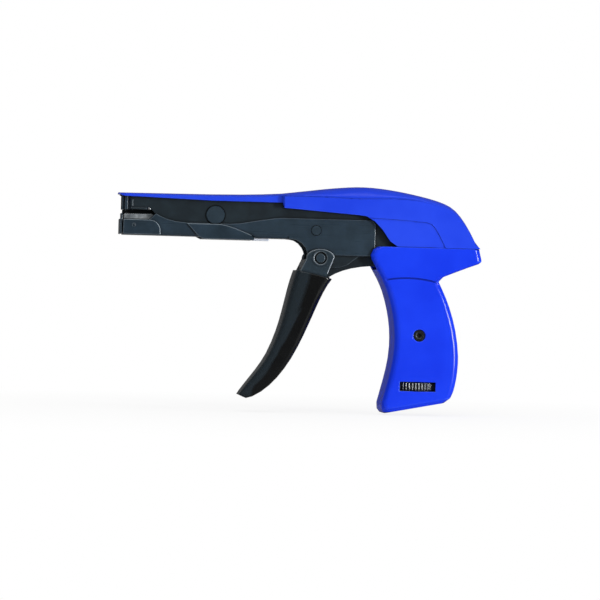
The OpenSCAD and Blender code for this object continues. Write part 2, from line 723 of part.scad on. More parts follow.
module blade_guide() {
    side = blade_y + slide_gap;
    pocket = blade_gap - 0.1;
    color(steel_black) difference() {
        translate([0, 0, guide_low]) linear_extrude(frame_top - guide_low) difference() {
            polygon([
                [guide_front, guide_in], [guide_end, guide_in], [guide_end, inner_y],
                [guide_x - 0.1, inner_y], [guide_x - 0.1, guide_out], [guide_front, guide_out]
            ]);
            translate([blade_x - (pocket - blade_t) / 2, 0]) square([pocket, side]);
            for (x = groove_xs) translate([x, guide_out - groove_l]) square([groove_l, over + groove_l]);
        }
        // seat on the strap guide
        translate([guide_x - run_gap, 0, guide_low - over]) cube([guide_end, outer_y, guide_t + over]);
    }
}

module blade_guide_left() { mirror([0, 1, 0]) blade_guide(); }

module blade_guide_right() { blade_guide(); }

module strap_guide() {
    color(steel_black) translate([guide_x, -outer_y - lip_out, slot_top])
        cube([guide_l, outer_y + lip_out + inner_y, guide_t]);
}

module guide_pin() {
    color(bare_steel) cross_pin(guide_pin_at, guide_pin_d, 2 * (outer_y + lip_out));
}

// Clip round the barrel, with a spring anchor behind it
clip_x = 33;
clip_top = -5.4;
clip_l = 33.5;
clip_bottom = -frame_drop - 1.1;
clip_shares = [
    [0, 1], [0.5, 1], [0.57, 0.95], [0.71, 0.77], [0.84, 0.54], [0.955, 0.34], [1, 0.12], [1, 0],
    [0.245, 0], [0.175, 0.15]
];

module barrel_clip() {
    color(steel_black) {
        plate_pair(clip_y, clip_t)
            polygon(sized(clip_shares, [clip_l, clip_top - clip_bottom], [clip_x, clip_bottom]));
        translate([clip_x + 0.245 * clip_l, -clip_y - clip_t, clip_bottom])
            cube([0.755 * clip_l, 2 * (clip_y + clip_t), -frame_drop - clip_bottom]);
    }
}

anchor_x = 66.2 + seat + 0.1;
anchor_t = 1.3;
anchor_w = 6;
foot_l = 8;
foot_t = 1.2;
anchor_top = -5.4;

module spring_anchor() {
    color(bare_steel) {
        translate([anchor_x, -anchor_w / 2, -frame_drop - foot_t])
            cube([anchor_t, anchor_w, anchor_top + frame_drop + foot_t]);
        translate([anchor_x, -anchor_w / 2, -frame_drop - foot_t]) cube([foot_l, anchor_w, foot_t]);
    }
}

// Rivets and pins that the frame holds
rivet_h = 1.1;
small_head_d = 4.9;
small_head_h = 0.8;
head_d = 5.6;
head_h = 0.6;

module cutter_rivet() {
    color(steel_black) {
        cross_pin(cutter_pivot, rivet_d, 2 * outer_y);
        rivet_heads(cutter_pivot, rivet_head_d, outer_y - recess, rivet_h);
    }
}

module frame_rivet() {
    color(steel_black) {
        cross_pin(small_rivet, frame_rivet_d, 2 * clip_y);
        rivet_heads(small_rivet, small_head_d, clip_y - recess, small_head_h);
    }
}

module rivet_spacer() {
    color(dark_steel) difference() {
        cross_pin(small_rivet, spacer_d, 2 * inner_y);
        cross_pin(small_rivet, frame_rivet_d, 2 * inner_y + over);
    }
}

pin_head_d = 4.4;

module pivot_pin() {
    color(steel_black) {
        cross_pin(pivot, pivot_d, 2 * (ear_out - 0.9));
        cross_pin(pivot, pin_head_d, 2 * (ear_out + 0.5));
    }
}

module rocker_pin() {
    color(dark_steel) {
        cross_pin(rocker_pivot, pin_d, 2 * outer_y);
        rivet_heads(rocker_pivot, head_d, outer_y, head_h);
    }
}

module lever_pin() {
    color(dark_steel) {
        cross_pin(lever_pivot, pin_d, 2 * outer_y);
        rivet_heads(lever_pivot, head_d, outer_y, head_h);
    }
}

module grip_spacer() {
    color(dark_steel) difference() {
        cross_pin(screw_at, spacer_d, 2 * outer_y);
        cross_pin(screw_at, screw_d, 2 * outer_y + over);
    }
}

screw_head_h = 2.8;
socket_af = 2.5;
socket_depth = 1.5;

module grip_screw() {
    color(gloss_black) difference() {
        union() {
            cross_pin(screw_at, screw_d, 2 * head_seat + 0.01);
            translate([screw_at.x, head_seat + nut_t, screw_at.y]) rotate([90, 0, 0])
                cylinder(d = screw_d, h = nut_t);
            translate([screw_at.x, -head_seat, screw_at.y]) rotate([90, 0, 0])
                cylinder(d = screw_head_d, h = screw_head_h);
        }
        translate([screw_at.x, -head_seat - screw_head_h + socket_depth, screw_at.y])
            rotate([90, 0, 0]) cylinder(d = socket_af / cos(30), h = socket_depth + over, $fn = 6);
    }
}

module grip_nut() {
    color(bare_steel) difference() {
        translate([screw_at.x, head_seat, screw_at.y]) rotate([-90, 0, 0])
            cylinder(d = nut_af / cos(30), h = nut_t, $fn = 6);
        cross_pin(screw_at, screw_d, grip_w);
    }
}

// Trigger, whose rings also run from a front point to a rear point
sleeve_t = 1.3;
lever_t = 1.8;
sleeve_front = concat(
    curve([88.2, -27], [83.6, -40], [83.4, -53], [75.5, -69], 8),
    tail(curve([75.5, -69], [71.9, -76], [66.3, -82], [62.4, -87.6], 5))
);
sleeve_rear = concat(
    curve([106.2, -31], [99.8, -38.5], [95.6, -55.5], [86.7, -71], 8),
    tail(curve([86.7, -71], [81.5, -79.8], [75.2, -87], [67.8, -90.4], 5))
);
sleeve_half_shares = [
    1, 1, 0.985, 0.965, 0.945, 0.92, 0.9, 0.88, 0.86, 0.835, 0.81, 0.78, 0.74, 0.68
];
sleeve_y = ear_out + sleeve_t;
sleeve_round = 4;
tip_front = [61, -89.6];
tip_rear = [64.8, -91.3];
function swept(f, b, d, first) = [
    for (i = [len(f) - 1:-1:first]) oblong(f[i], b[i], sleeve_y * sleeve_half_shares[i] - d,
        sleeve_round * (norm(b[i] - f[i]) / 18) - d * 0.6, 3)
];

module sleeve_solid() {
    loft(concat([oblong(tip_front, tip_rear, sleeve_y * 0.55, 0.8, 3)],
        swept(sleeve_front, sleeve_rear, 0, 0)));
}

// The lever's full shape, or the hollow for it when it runs out at the top by rise
module lever_solid(rise = 0) {
    rings = swept(beside(sleeve_front, -sleeve_t), beside(sleeve_rear, sleeve_t), sleeve_t, 0);
    top = rings[len(rings) - 1];
    loft(rise > 0 ? concat(rings, [[for (p = top) p + [0, 0, rise]]]) : rings);
}

ear_size = [7.1, 4.5];
ear_n = 20;
ear_boss_d = 8.4;
ear_boss_h = 0.25;
web_c = pivot + [-1.8, -5.4]; // centre of the web that curls up between the ears
web_r = 7.1;
web_t = 1.3;
web_low = [[89.8, -29.2], [88.4, -33]];

module ear_outline() {
    polygon(concat(
        [for (i = [0:ear_n]) let (a = 8 + 176 * i / ear_n)
            pivot + [ear_size.x * cos(a), ear_size.y * sin(a)]],
        [[89.9, -27.2], [88.6, -31], [101.6, -34], [102.9, -30.3]]
    ));
}

module web_outline() {
    difference() {
        polygon(concat(
            arc(web_c, web_r, 100, 185, 10), web_low,
            [for (i = [1, 0]) web_low[i] + [web_t + 0.2, 0]],
            arc(web_c, web_r - web_t, 185, 100, 10)
        ));
        translate(pivot) circle(r = lobe_r + seat);
    }
}

module trigger_lever() {
    color(steel_black) plate(-ear_y - seat, 2 * (ear_y + seat)) web_outline();
    color(steel_black) difference() {
        union() {
            intersection() {
                lever_solid();
                translate([0, -grip_y, -200]) cube([200, grip_w, 200 - 27.2]);
            }
            plate_pair(ear_y, ear_t) ear_outline();
            // embossed rings round the pivot
            for (m = [0, 1]) mirror([0, m, 0]) translate([pivot.x, ear_out, pivot.y])
                rotate([-90, 0, 0]) cylinder(d = ear_boss_d, h = ear_boss_h);
        }
        // channel, open at the rear and the top
        loft([for (i = [11:-1:0]) let (
            f = beside(sleeve_front, -sleeve_t - lever_t)[i], b = sleeve_rear[i] + [4, -1],
            half = i == 0 ? ear_y : ear_y * sleeve_half_shares[i] - 0.2
        ) [[f.x, -half, f.y + (i == 0 ? 1 : 0)], [b.x, -half, b.y], [b.x, half, b.y],
            [f.x, half, f.y + (i == 0 ? 1 : 0)]]]);
        translate([80, -ear_y, -31]) cube([40, 2 * ear_y, 20]);
        cross_pin(pivot, pivot_d + 2 * run_gap, grip_w + over);
        cross_pin(arm_at, pin_d - 0.5, grip_w + over);
    }
}

module trigger_sleeve() {
    color(gloss_black) difference() {
        sleeve_solid();
        lever_solid(over);
        plate_pair(ear_y, ear_t) ear_outline();
        plate(-ear_y - seat, 2 * (ear_y + seat)) web_outline();
        translate([arm_at.x - 4, -trip_y - 1, arm_at.y - 5.5]) cube([20, 2 * trip_y + 2, 20]);
        // upper edge, which slants across the ears
        plate(-grip_y - over, grip_w + 2 * over)
            polygon([[80, -24.3], [89, -26.2], [96, -28.8], [103.2, -30.2], [110, -30.9], [110, 0], [80, 0]]);
    }
}

module arm_pin() { color(dark_steel) cross_pin(arm_at, pin_d - 0.5, 2 * (ear_out - 0.2)); }

// Push arm from the trigger to the rocker
arm_w = 4.6;
arm_boss = 3.3;
arm_slot_rise = 1.2;

module arm_outline() {
    lower = curve(arm_at + [0.4, -3.2], [103.4, -30.4], [110, -25], [127, -24], 8);
    upper = curve([128, -17.8], [117, -18], [107, -21.5], arm_at + [-1.6, 2.9], 8);
    difference() {
        union() {
            polygon(concat(lower, [link_at + [0, -3.6], link_at + [0, 4.2]], upper));
            translate(arm_at) circle(r = arm_boss);
            link(link_at, link_at + [0, arm_slot_rise], arm_boss + 0.4, arm_boss + 0.4);
        }
        translate(arm_at) circle(d = pin_d - 0.5 + 2 * run_gap);
        // upright slot, which lets the rocker's pin follow its own arc
        translate(link_at) circle(d = pin_d + 2 * slide_gap);
        translate(link_at + [0, arm_slot_rise]) circle(d = pin_d + 2 * slide_gap);
        translate(link_at + [-pin_d / 2 - slide_gap, 0])
            square([pin_d + 2 * slide_gap, arm_slot_rise]);
    }
}

module push_arm() {
    color(steel_black) {
        plate_pair(arm_y, arm_t) arm_outline();
        translate([113, -arm_y - arm_t / 2, -24]) cube([8, 2 * arm_y + arm_t, 2.4]);
    }
}

// Rocker
rocker_w = 7.6;

module rocker_outline() {
    difference() {
        link(rocker_pivot, draw_at, rocker_w / 2, rocker_w / 2);
        translate(rocker_pivot) circle(d = pin_d + 2 * run_gap);
        translate(link_at) circle(d = pin_d);
        translate(draw_at) circle(d = draw_d);
    }
}

draw_d = 3.6;

module rocker() {
    mid = (link_at + draw_at) / 2;
    color(dark_steel) {
        plate_pair(rocker_y, rocker_t) rocker_outline();
        translate([mid.x - 1.5, -rocker_y - rocker_t / 2, mid.y - 5])
            cube([3, 2 * rocker_y + rocker_t, 6]);
    }
}

module link_pin() { color(bare_steel) cross_pin(link_at, pin_d, 2 * (arm_y + arm_t)); }

module draw_pin() { color(bare_steel) cross_pin(draw_at, draw_d, 2 * (rocker_y + rocker_t)); }

// Pull bar, with the yoke that carries the pawl at its front
yoke_in = 4.2;
yoke_out = inner_y - slide_gap * 2;
yoke_low = floor_z + nose_floor_t + 0.2;
yoke_top = -4.3;
yoke_x = 8;
yoke_back = 24;
yoke_wall = 8;
bar_low = -4.9;
bar_high = 4.3;
bar_end = draw_at.x + 4;
slot_r = rivet_d / 2 + slide_gap;
pawl_at = [12.5, -6.4];
pawl_pin_d = 3;
rod_d = 2.2;
rod_l = 18;
spring_z = -7.6;
draw_slot_h = 6.6;
ledge_x = 2.2;
ledge_l = yoke_x - ledge_x + 0.6;
ledge_t = 0.6;

module bar_outline() {
    difference() {
        polygon([
            [17.4, yoke_low], [17.4, -3], [20, bar_high], [57, bar_high], [66, 1.7], [126, 1.7],
            [131.5, 5.4], [bar_end, 5.4], [bar_end, -4.6], [130, -4.6], [126, -3], [66, -3],
            [60, bar_low], [yoke_back, bar_low], [yoke_back, yoke_low]
        ]);
        // slot round the large rivet
        translate(cutter_pivot + [0, -slot_r]) translate([-stroke - 0.4, 0])
            square([stroke + 0.6, 2 * slot_r]);
        translate(cutter_pivot + [0.2, 0]) circle(r = slot_r);
        translate(cutter_pivot - [stroke + 0.4, 0]) circle(r = slot_r);
        // upright slot for the draw pin
        translate(draw_at + [-draw_d / 2 - slide_gap, -draw_slot_h / 2 + 0.8])
            square([draw_d + 2 * slide_gap, draw_slot_h]);
    }
}

module pull_bar() {
    color(dark_steel) {
        plate(-bar_y, bar_t) bar_outline();
        difference() {
            union() {
                plate_pair(yoke_in, yoke_out - yoke_in) polygon([
                    [yoke_x, yoke_low], [yoke_x, yoke_top - 1.6], [yoke_x + 1.6, yoke_top],
                    [yoke_back, yoke_top], [yoke_back, yoke_low]
                ]);
                translate([yoke_back - yoke_wall + 1, -yoke_out, yoke_low])
                    cube([yoke_wall - 1, 2 * yoke_out, yoke_top - yoke_low]);
            }
            cross_pin(pawl_at, pawl_pin_d, grip_w);
        }
        // ledge under the pawl's spring
        translate([ledge_x, -yoke_out, yoke_low]) cube([ledge_l, 2 * yoke_out, ledge_t]);
        translate([yoke_back - 0.01, 0, spring_z]) rotate([0, 90, 0]) cylinder(d = rod_d, h = rod_l);
    }
}

return_turns = 14;

module return_spring() {
    color(bare_steel) translate([yoke_back, 0, spring_z])
        coil(return_spring_d, return_wire, return_turns, anchor_x - yoke_back, 8);
}

module pawl_pin() { color(bare_steel) cross_pin(pawl_at, pawl_pin_d, 2 * yoke_out); }

pawl_turn = 6;
pawl_front = anvil_rear + blade_gap + 0.1;
pawl_rear = 16.5;
pawl_top = slot_floor;
pawl_out = inner_y - 0.4;
neck_y = yoke_in - slide_gap;
tooth_h = 0.5;
neck_low = -5.2;
pawl_wire = 0.4;
pawl_turns = 4;

module gripping_pawl() {
    teeth = floor((pawl_rear - pawl_front - 1) / tooth_pitch);
    shelf = yoke_top + 0.6;
    color(bare_steel) difference() {
        union() {
            // jaw, with its row of teeth
            plate(-pawl_out, 2 * pawl_out) polygon(concat(
                [[pawl_rear - 2.2, shelf], [pawl_front, shelf], [pawl_front, pawl_top - tooth_h]],
                [for (i = [0:teeth - 1], k = [0, 1]) [pawl_front + (i + k * 0.8) * tooth_pitch,
                    pawl_top - (k == 0 ? tooth_h : 0)]],
                [[pawl_rear, pawl_top - tooth_h]]
            ));
            plate(-neck_y, 2 * neck_y) polygon([
                [pawl_front, shelf + 0.1], [pawl_front, neck_low], [pawl_at.x - 5, neck_low],
                [pawl_at.x - 2.4, -8.1], [pawl_at.x + 2, -8.1], [15.2, pawl_at.y],
                [13.6, shelf + 0.1]
            ]);
        }
        cross_pin(pawl_at, pawl_pin_d + 2 * run_gap, grip_w);
    }
}

module pawl_spring() {
    coil_d = 3;
    color(bare_steel) translate([pawl_front + 3, 0, yoke_low + ledge_t]) rotate([0, -90, 0])
        coil(coil_d, pawl_wire, pawl_turns, neck_low - yoke_low - ledge_t, 8);
}

// Cut-off lever and blade
cut_turn = asin(blade_travel / (rivet_x - blade_x));
lever_tip = blade_x - 0.5;
tip_low = 5.7;
tip_high = 7.1;
ramp_x = 117;
ramp_low = 5.6;
rear_end = 125.5;
hub_r = 3.8;

module cut_outline() {
    difference() {
        union() {
            polygon([
                [lever_tip, tip_low], [lever_tip, tip_high], [6, 7.4], [14, 8], [36, 8], [46, 4],
                [52, 3.8], [82, 4.9], [112, 6.9], [ramp_x, 7], [rear_end, 6.2], [rear_end, 0.8],
                [ramp_x, ramp_low], [82, 2.6], [54, 0.6], [44, -1.5], [38, 4.2], [14, 6], [5, 6.1]
            ]);
            translate(cutter_pivot) circle(r = hub_r);
        }
        translate(cutter_pivot) circle(d = rivet_d + 2 * run_gap);
    }
}

module cut_off_lever() {
    color(dark_steel) {
        plate_pair(arm_y, arm_t) cut_outline();
        translate([14, -arm_y - arm_t / 2, 6.8]) cube([22, 2 * arm_y + arm_t, 1.2]);
    }
}

module cutter_blade() {
    notch = 0.2;
    color(bare_steel) difference() {
        plate(-blade_y, 2 * blade_y) polygon([
            [blade_x, blade_high], [blade_x + blade_t, blade_high],
            [blade_x + blade_t, blade_low + 1], [blade_x, blade_low]
        ]);
        for (m = [0, 1]) mirror([0, m, 0])
            translate([blade_x - over, arm_y - notch, tip_low - notch])
                cube([blade_t + 2 * over, arm_t + 2 * notch, tip_high - tip_low + 2 * notch]);
    }
}

// Tension lever, with the pin that lifts the cut-off lever and the one that bears on the pusher
trip_at = [118, 3.2];
trip_d = 2.6;
toe_at = [151, -46];
toe_d = 3;

module trip_outline() {
    elbow = rocker_pivot + [pin_d / 2 + 3.6, 1];
    knee = [149, -14];
    hub = 3.5;
    tip = 3;
    difference() {
        union() {
            link(lever_pivot, elbow, hub, hub);
            link(elbow, knee, hub, tip);
            link(knee, trip_at, tip, trip_d);
            link(lever_pivot, toe_at, hub, tip);
        }
        translate(lever_pivot) circle(d = pin_d + 2 * run_gap);
        translate(rocker_pivot) circle(d = pin_d + 2 * slide_gap);
        translate(rocker_pivot + [-6, -3.2]) square([6, 6]);
        translate(trip_at) circle(d = trip_d);
        translate(toe_at) circle(d = toe_d);
    }
}

module tension_lever() {
    color(dark_steel) {
        plate_pair(trip_y, trip_t) trip_outline();
        translate([144.5, -trip_y - trip_t / 2, -38.8]) cube([6, 2 * trip_y + trip_t, 1.8]);
    }
}

module trip_pin() { color(bare_steel) cross_pin(trip_at, trip_d, 2 * (trip_y + trip_t)); }

module toe_pin() { color(bare_steel) cross_pin(toe_at, toe_d, 2 * (trip_y + trip_t)); }

// Pusher, spring, nut and thumbwheel in the grip
pusher_w = 11;
pusher_top = toe_at.y - toe_d / 2 - 0.05;
flange_top = -64.8;
flange_t = 1.8;
pusher_travel = 0.9;
stud_top = -70;

module tension_pusher() {
    slot = spacer_d + 2 * slide_gap;
    color(dark_steel) {
        difference() {
            plate(-bar_y, bar_t) translate([wheel_x - pusher_w / 2, flange_top - 0.2])
                square([pusher_w, pusher_top - flange_top + 0.2]);
            for (rise = [0, pusher_travel]) cross_pin(screw_at + [0, rise], slot, grip_w);
            translate([screw_at.x - slot / 2, -grip_y, screw_at.y]) cube([slot, grip_w, pusher_travel]);
        }
        translate([wheel_x, 0, flange_top - flange_t]) cylinder(d = tension_spring_d + 0.6, h = flange_t);
    }
}

nut_low = wheel_high + 0.3;
tension_wire = 1.4;
tension_turns = 4;

module tension_spring() {
    color(bare_steel) translate([wheel_x, 0, nut_low + nut_t_z]) rotate([0, -90, 0])
        coil(tension_spring_d, tension_wire, tension_turns,
            flange_top - flange_t - nut_low - nut_t_z, 12);
}

module tension_nut() {
    color(dark_steel) difference() {
        translate([wheel_x - nut_w / 2, -nut_w / 2, nut_low]) cube([nut_w, nut_w, nut_t_z]);
        translate([wheel_x, 0, nut_low - over])
            cylinder(d = stud_d + 2 * run_gap, h = nut_t_z + 2 * over);
    }
}

module tension_wheel() {
    groove = 0.45;
    color(dark_steel) difference() {
        translate([wheel_x, 0, wheel_low]) linear_extrude(wheel_t) polygon([
            for (i = [0:wheel_ribs - 1], k = [0:3]) let (
                a = 360 * (i + [0, 0.35, 0.5, 0.85][k]) / wheel_ribs,
                r = wheel_d / 2 - (k > 1 ? groove : 0)
            ) r * [cos(a), sin(a)]
        ]);
        translate([wheel_x, 0, wheel_low - over]) cylinder(d = stud_d, h = wheel_t + 2 * over);
    }
}

module adjuster_stud() {
    color(bare_steel) {
        translate([wheel_x, 0, wheel_low]) cylinder(d = stud_d, h = stud_top - wheel_low);
        translate([wheel_x, 0, wheel_low - shelf_t]) cylinder(d = journal_d, h = shelf_t);
    }
}

top_cover();
grip_shell_left();
grip_shell_right();
inner_frame_left();
inner_frame_right();
outer_frame();
nose_plate();
nose_bracket_left();
nose_bracket_right();
nose_rivets();
blade_guide_left();
blade_guide_right();
strap_guide();
guide_pin();
barrel_clip();
spring_anchor();
cutter_rivet();
frame_rivet();
rivet_spacer();
pivot_pin();
rocker_pin();
lever_pin();
grip_spacer();
grip_screw();
grip_nut();
trigger_lever();
trigger_sleeve();
arm_pin();
push_arm();
rocker();
link_pin();
draw_pin();
pull_bar();
return_spring();
pawl_pin();
gripping_pawl();
pawl_spring();
cut_off_lever();
cutter_blade();
tension_lever();
trip_pin();
toe_pin();
tension_pusher();
tension_spring();
tension_nut();
tension_wheel();
adjuster_stud();
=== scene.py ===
"""Studio picture of a cable tie tensioning tool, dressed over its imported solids.

Each sub-assembly of the tool is a class. It takes the solids that it consists of, rounds their
edges as stamping, casting and grinding leave them, and gives every piece its finish. It adds no
form that the solids lack.
"""

import json
import logging
import math
from abc import ABC, abstractmethod
from dataclasses import dataclass, field
from enum import Enum
from typing import Any, Mapping, Sequence

import bmesh
import bpy
from mathutils import Matrix, Vector
from mathutils.bvhtree import BVHTree

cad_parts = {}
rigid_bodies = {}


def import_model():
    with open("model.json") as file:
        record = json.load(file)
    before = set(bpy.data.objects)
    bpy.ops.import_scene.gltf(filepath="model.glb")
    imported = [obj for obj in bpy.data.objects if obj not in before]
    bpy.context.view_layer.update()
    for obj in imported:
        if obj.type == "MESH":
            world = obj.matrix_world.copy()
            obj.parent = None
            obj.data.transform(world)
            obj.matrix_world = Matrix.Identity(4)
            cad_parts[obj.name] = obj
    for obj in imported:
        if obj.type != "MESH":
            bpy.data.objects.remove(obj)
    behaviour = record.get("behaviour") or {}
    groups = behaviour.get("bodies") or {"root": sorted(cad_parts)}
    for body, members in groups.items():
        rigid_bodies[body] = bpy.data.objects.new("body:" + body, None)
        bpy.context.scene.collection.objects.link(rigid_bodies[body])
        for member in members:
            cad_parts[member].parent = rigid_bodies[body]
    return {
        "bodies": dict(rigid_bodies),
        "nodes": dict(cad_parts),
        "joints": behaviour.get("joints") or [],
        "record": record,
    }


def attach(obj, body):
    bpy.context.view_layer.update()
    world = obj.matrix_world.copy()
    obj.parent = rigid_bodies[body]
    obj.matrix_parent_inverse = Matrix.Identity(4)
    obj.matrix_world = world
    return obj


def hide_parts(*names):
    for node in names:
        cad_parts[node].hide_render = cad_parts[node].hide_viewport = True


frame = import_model()

log = logging.getLogger("tie_tool")

MM = 0.001
TINY = 1e-18

# Mesh attributes: how pale a rounded edge is painted, for scuffing and a painted highlight, and
# how far back on the sleeve a point lies, which places the sleeve's painted light.
EDGE_WEAR_AND_HIGHLIGHT = "edge_wear_and_highlight"
REAR = "rear_share"

# How open to the light a shaded corner and an open face are, from 0 to 1.
# The painted shade fades in between.
OPEN_IN_CORNER = 0.35
OPEN_ON_FACE = 0.95
SHADE_SAMPLES = 12


class Slot(Enum):
    """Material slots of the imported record."""

    BLUE = "blue_paint"
    BLACK = "black_steel"
    GLOSS = "black_gloss"
    SCREW = "screw_black"
    DARK = "dark_steel"
    STEEL = "steel"


class Axis(Enum):
    """Directions that a surface's grain can run in."""

    X = (1.0, 0.0, 0.0)
    Z = (0.0, 0.0, 1.0)


# ---------------------------------------------------------------- colours and node helpers


def linear(hex_colour: str) -> tuple[float, float, float, float]:
    """Turns an sRGB hex colour into linear values.

    Args:
        hex_colour: Six hex digits after a hash sign.

    Returns:
        Red, green and blue in linear light, and an alpha of one.
    """
    parts = [int(hex_colour[i : i + 2], 16) / 255 for i in (1, 3, 5)]
    lin = [p / 12.92 if p <= 0.04045 else ((p + 0.055) / 1.055) ** 2.4 for p in parts]
    return (lin[0], lin[1], lin[2], 1.0)


def per_mm(size_mm: float) -> float:
    """Returns the texture scale whose features are size_mm long in metre coordinates."""
    return 1.0 / (size_mm * MM)


def add_node(
    tree: bpy.types.NodeTree,
    kind: str,
    settings: Mapping[str, Any] | None = None,
    links: Mapping[str, bpy.types.NodeSocket] | None = None,
) -> bpy.types.Node:
    """Adds one shader node, sets it up and links its inputs.

    Args:
        tree: The node tree that gets the node.
        kind: The node's type name.
        settings: Properties, or values of inputs, by name.
        links: Output sockets to link, by the name of the input they go to.

    Returns:
        The new node.
    """
    node = tree.nodes.new(kind)
    for name, value in (settings or {}).items():
        if hasattr(node, name):
            setattr(node, name, value)
        else:
            node.inputs[name].default_value = value
    for name, socket in (links or {}).items():
        target = node.inputs[int(name)] if name.isdigit() else node.inputs[name]
        tree.links.new(socket, target)
    return node


# ---------------------------------------------------------------- finishes


@dataclass(frozen=True)
class Finish(ABC):
    """A surface finish, from which one material is made."""

    name: str

    def material(self) -> bpy.types.Material:
        """Makes the finish's material, or returns it if it has been made.

        Returns:
            The material.
        """
        known = bpy.data.materials.get(self.name)
        if known is not None:
            return known
        made = bpy.data.materials.new(self.name)
        made.use_nodes = True
        tree = made.node_tree
        tree.nodes.clear()
        shader = add_node(tree, "ShaderNodeBsdfPrincipled")
        add_node(
            tree, "ShaderNodeOutputMaterial", links={"Surface": shader.outputs["BSDF"]}
        )
        place = add_node(tree, "ShaderNodeTexCoord").outputs["Object"]
        self.paint(tree, shader, place)
        return made

    @abstractmethod
    def paint(
        self,
        tree: bpy.types.NodeTree,
        shader: bpy.types.Node,
        place: bpy.types.NodeSocket,
    ) -> None:
        """Fills the material's tree.

        Args:
            tree: The material's node tree.
            shader: Its Principled node.
            place: Object coordinates, in metres.
        """


def ramp(
    tree: bpy.types.NodeTree,
    value: bpy.types.NodeSocket,
    stops: Sequence[tuple[float, str]],
) -> bpy.types.NodeSocket:
    """Turns a value into a colour.

    Args:
        tree: The material's node tree.
        value: The value that is read.
        stops: Places from 0 to 1, each with a hex colour.

    Returns:
        The colour's socket.
    """
    node = add_node(tree, "ShaderNodeValToRGB", links={"Fac": value})
    band = node.color_ramp
    while len(band.elements) < len(stops):
        band.elements.new(0.5)
    for element, (place, colour) in zip(band.elements, stops):
        element.position = place
        element.color = linear(colour)
    return node.outputs["Color"]


def scuffed_and_highlit(
    tree: bpy.types.NodeTree,
    base: bpy.types.NodeSocket,
    edge: str,
    amount: float,
) -> bpy.types.NodeSocket:
    """Mixes an edge colour into a base colour where an edge was rounded, as scuffing and painted
    highlight.

    Args:
        tree: The material's node tree.
        base: The colour away from the edges.
        edge: The edges' hex colour, for scuffing and a painted highlight.
        amount: Share of the edge colour on an edge.

    Returns:
        The mixed colour's socket.
    """
    mark = add_node(tree, "ShaderNodeAttribute", {"attribute_name": EDGE_WEAR_AND_HIGHLIGHT})
    share = add_node(
        tree,
        "ShaderNodeMath",
        {"operation": "MULTIPLY"},
        {"0": mark.outputs["Fac"]},
    )
    share.inputs[1].default_value = amount
    mix = add_node(
        tree,
        "ShaderNodeMix",
        {"data_type": "RGBA"},
        {"0": share.outputs[0], "6": base},
    )
    mix.inputs[7].default_value = linear(edge)
    return mix.outputs[2]


def painted_corner_shade(
    tree: bpy.types.NodeTree,
    shader: bpy.types.Node,
    base: bpy.types.NodeSocket,
    reach_mm: float,
    amount: float,
) -> None:
    """Darkens a base colour in gaps, in corners and round seated pieces, as painted shade.

    Args:
        tree: The material's node tree.
        shader: Its Principled node, whose colour is set.
        base: The colour out in the open.
        reach_mm: How far from a corner it still darkens.
        amount: Share of the open colour that a tight corner loses.
    """
    gap = add_node(tree, "ShaderNodeAmbientOcclusion", {"Distance": reach_mm * MM})
    gap.samples = SHADE_SAMPLES
    keep = add_node(
        tree,
        "ShaderNodeMapRange",
        {
            "From Min": OPEN_IN_CORNER,
            "From Max": OPEN_ON_FACE,
            "To Min": 1.0 - amount,
            "To Max": 1.0,
        },
        {"Value": gap.outputs["AO"]},
    )
    mix = add_node(
        tree,
        "ShaderNodeVectorMath",
        {"operation": "SCALE"},
        {"0": base, "Scale": keep.outputs["Result"]},
    )
    tree.links.new(mix.outputs["Vector"], shader.inputs["Base Color"])


@dataclass(frozen=True)
class Enamel(Finish):
    """Blue enamel, sprayed on die-cast metal and stoved.

    It gives the eye an even, strong colour under a clear gloss that is a little wavy, like the
    skin of an orange, and thins to a paler line on the edges, which also carries a painted
    highlight where an edge faces up or to the rear. Gaps and corners get painted shade.
    """

    deep: str = "#0C32D6"
    light: str = "#1239DE"
    drift_mm: float = 22.0
    drift_range: tuple[float, float] = (0.35, 0.65)
    # Paler edge colour: scuffing, and a painted highlight where an edge faces up or to the rear.
    edge: str = "#4A74FF"
    scuff_and_highlight: float = 0.5
    # Painted shade in gaps and corners: how far it reaches and how dark it gets.
    shade_reach_mm: float = 2.0
    shade_depth: float = 0.85
    peel_mm: float = 1.6
    peel_depth_mm: float = 0.04
    peel_strength: float = 0.12
    roughness: float = 0.2
    specular: float = 0.35
    ior: float = 1.45

    def paint(
        self,
        tree: bpy.types.NodeTree,
        shader: bpy.types.Node,
        place: bpy.types.NodeSocket,
    ) -> None:
        """Fills the enamel's tree.

        Args:
            tree: The material's node tree.
            shader: Its Principled node.
            place: Object coordinates, in metres.
        """
        drift = add_node(
            tree,
            "ShaderNodeTexNoise",
            {"Scale": per_mm(self.drift_mm), "Detail": 2.0, "Roughness": 0.5},
            {"Vector": place},
        )
        low, high = self.drift_range
        colour = ramp(tree, drift.outputs["Fac"], [(low, self.deep), (high, self.light)])
        # Paler edges with painted highlight, then painted shade in gaps and corners.
        colour = scuffed_and_highlit(tree, colour, self.edge, self.scuff_and_highlight)
        painted_corner_shade(tree, shader, colour, self.shade_reach_mm, self.shade_depth)
        peel = add_node(
            tree,
            "ShaderNodeTexNoise",
            {"Scale": per_mm(self.peel_mm), "Detail": 1.0, "Roughness": 0.4},
            {"Vector": place},
        )
        bump = add_node(
            tree,
            "ShaderNodeBump",
            {"Strength": self.peel_strength, "Distance": self.peel_depth_mm * MM},
            {"Height": peel.outputs["Fac"]},
        )
        tree.links.new(bump.outputs["Normal"], shader.inputs["Normal"])
        shader.inputs["Roughness"].default_value = self.roughness
        shader.inputs["Specular IOR Level"].default_value = self.specular
        shader.inputs["IOR"].default_value = self.ior


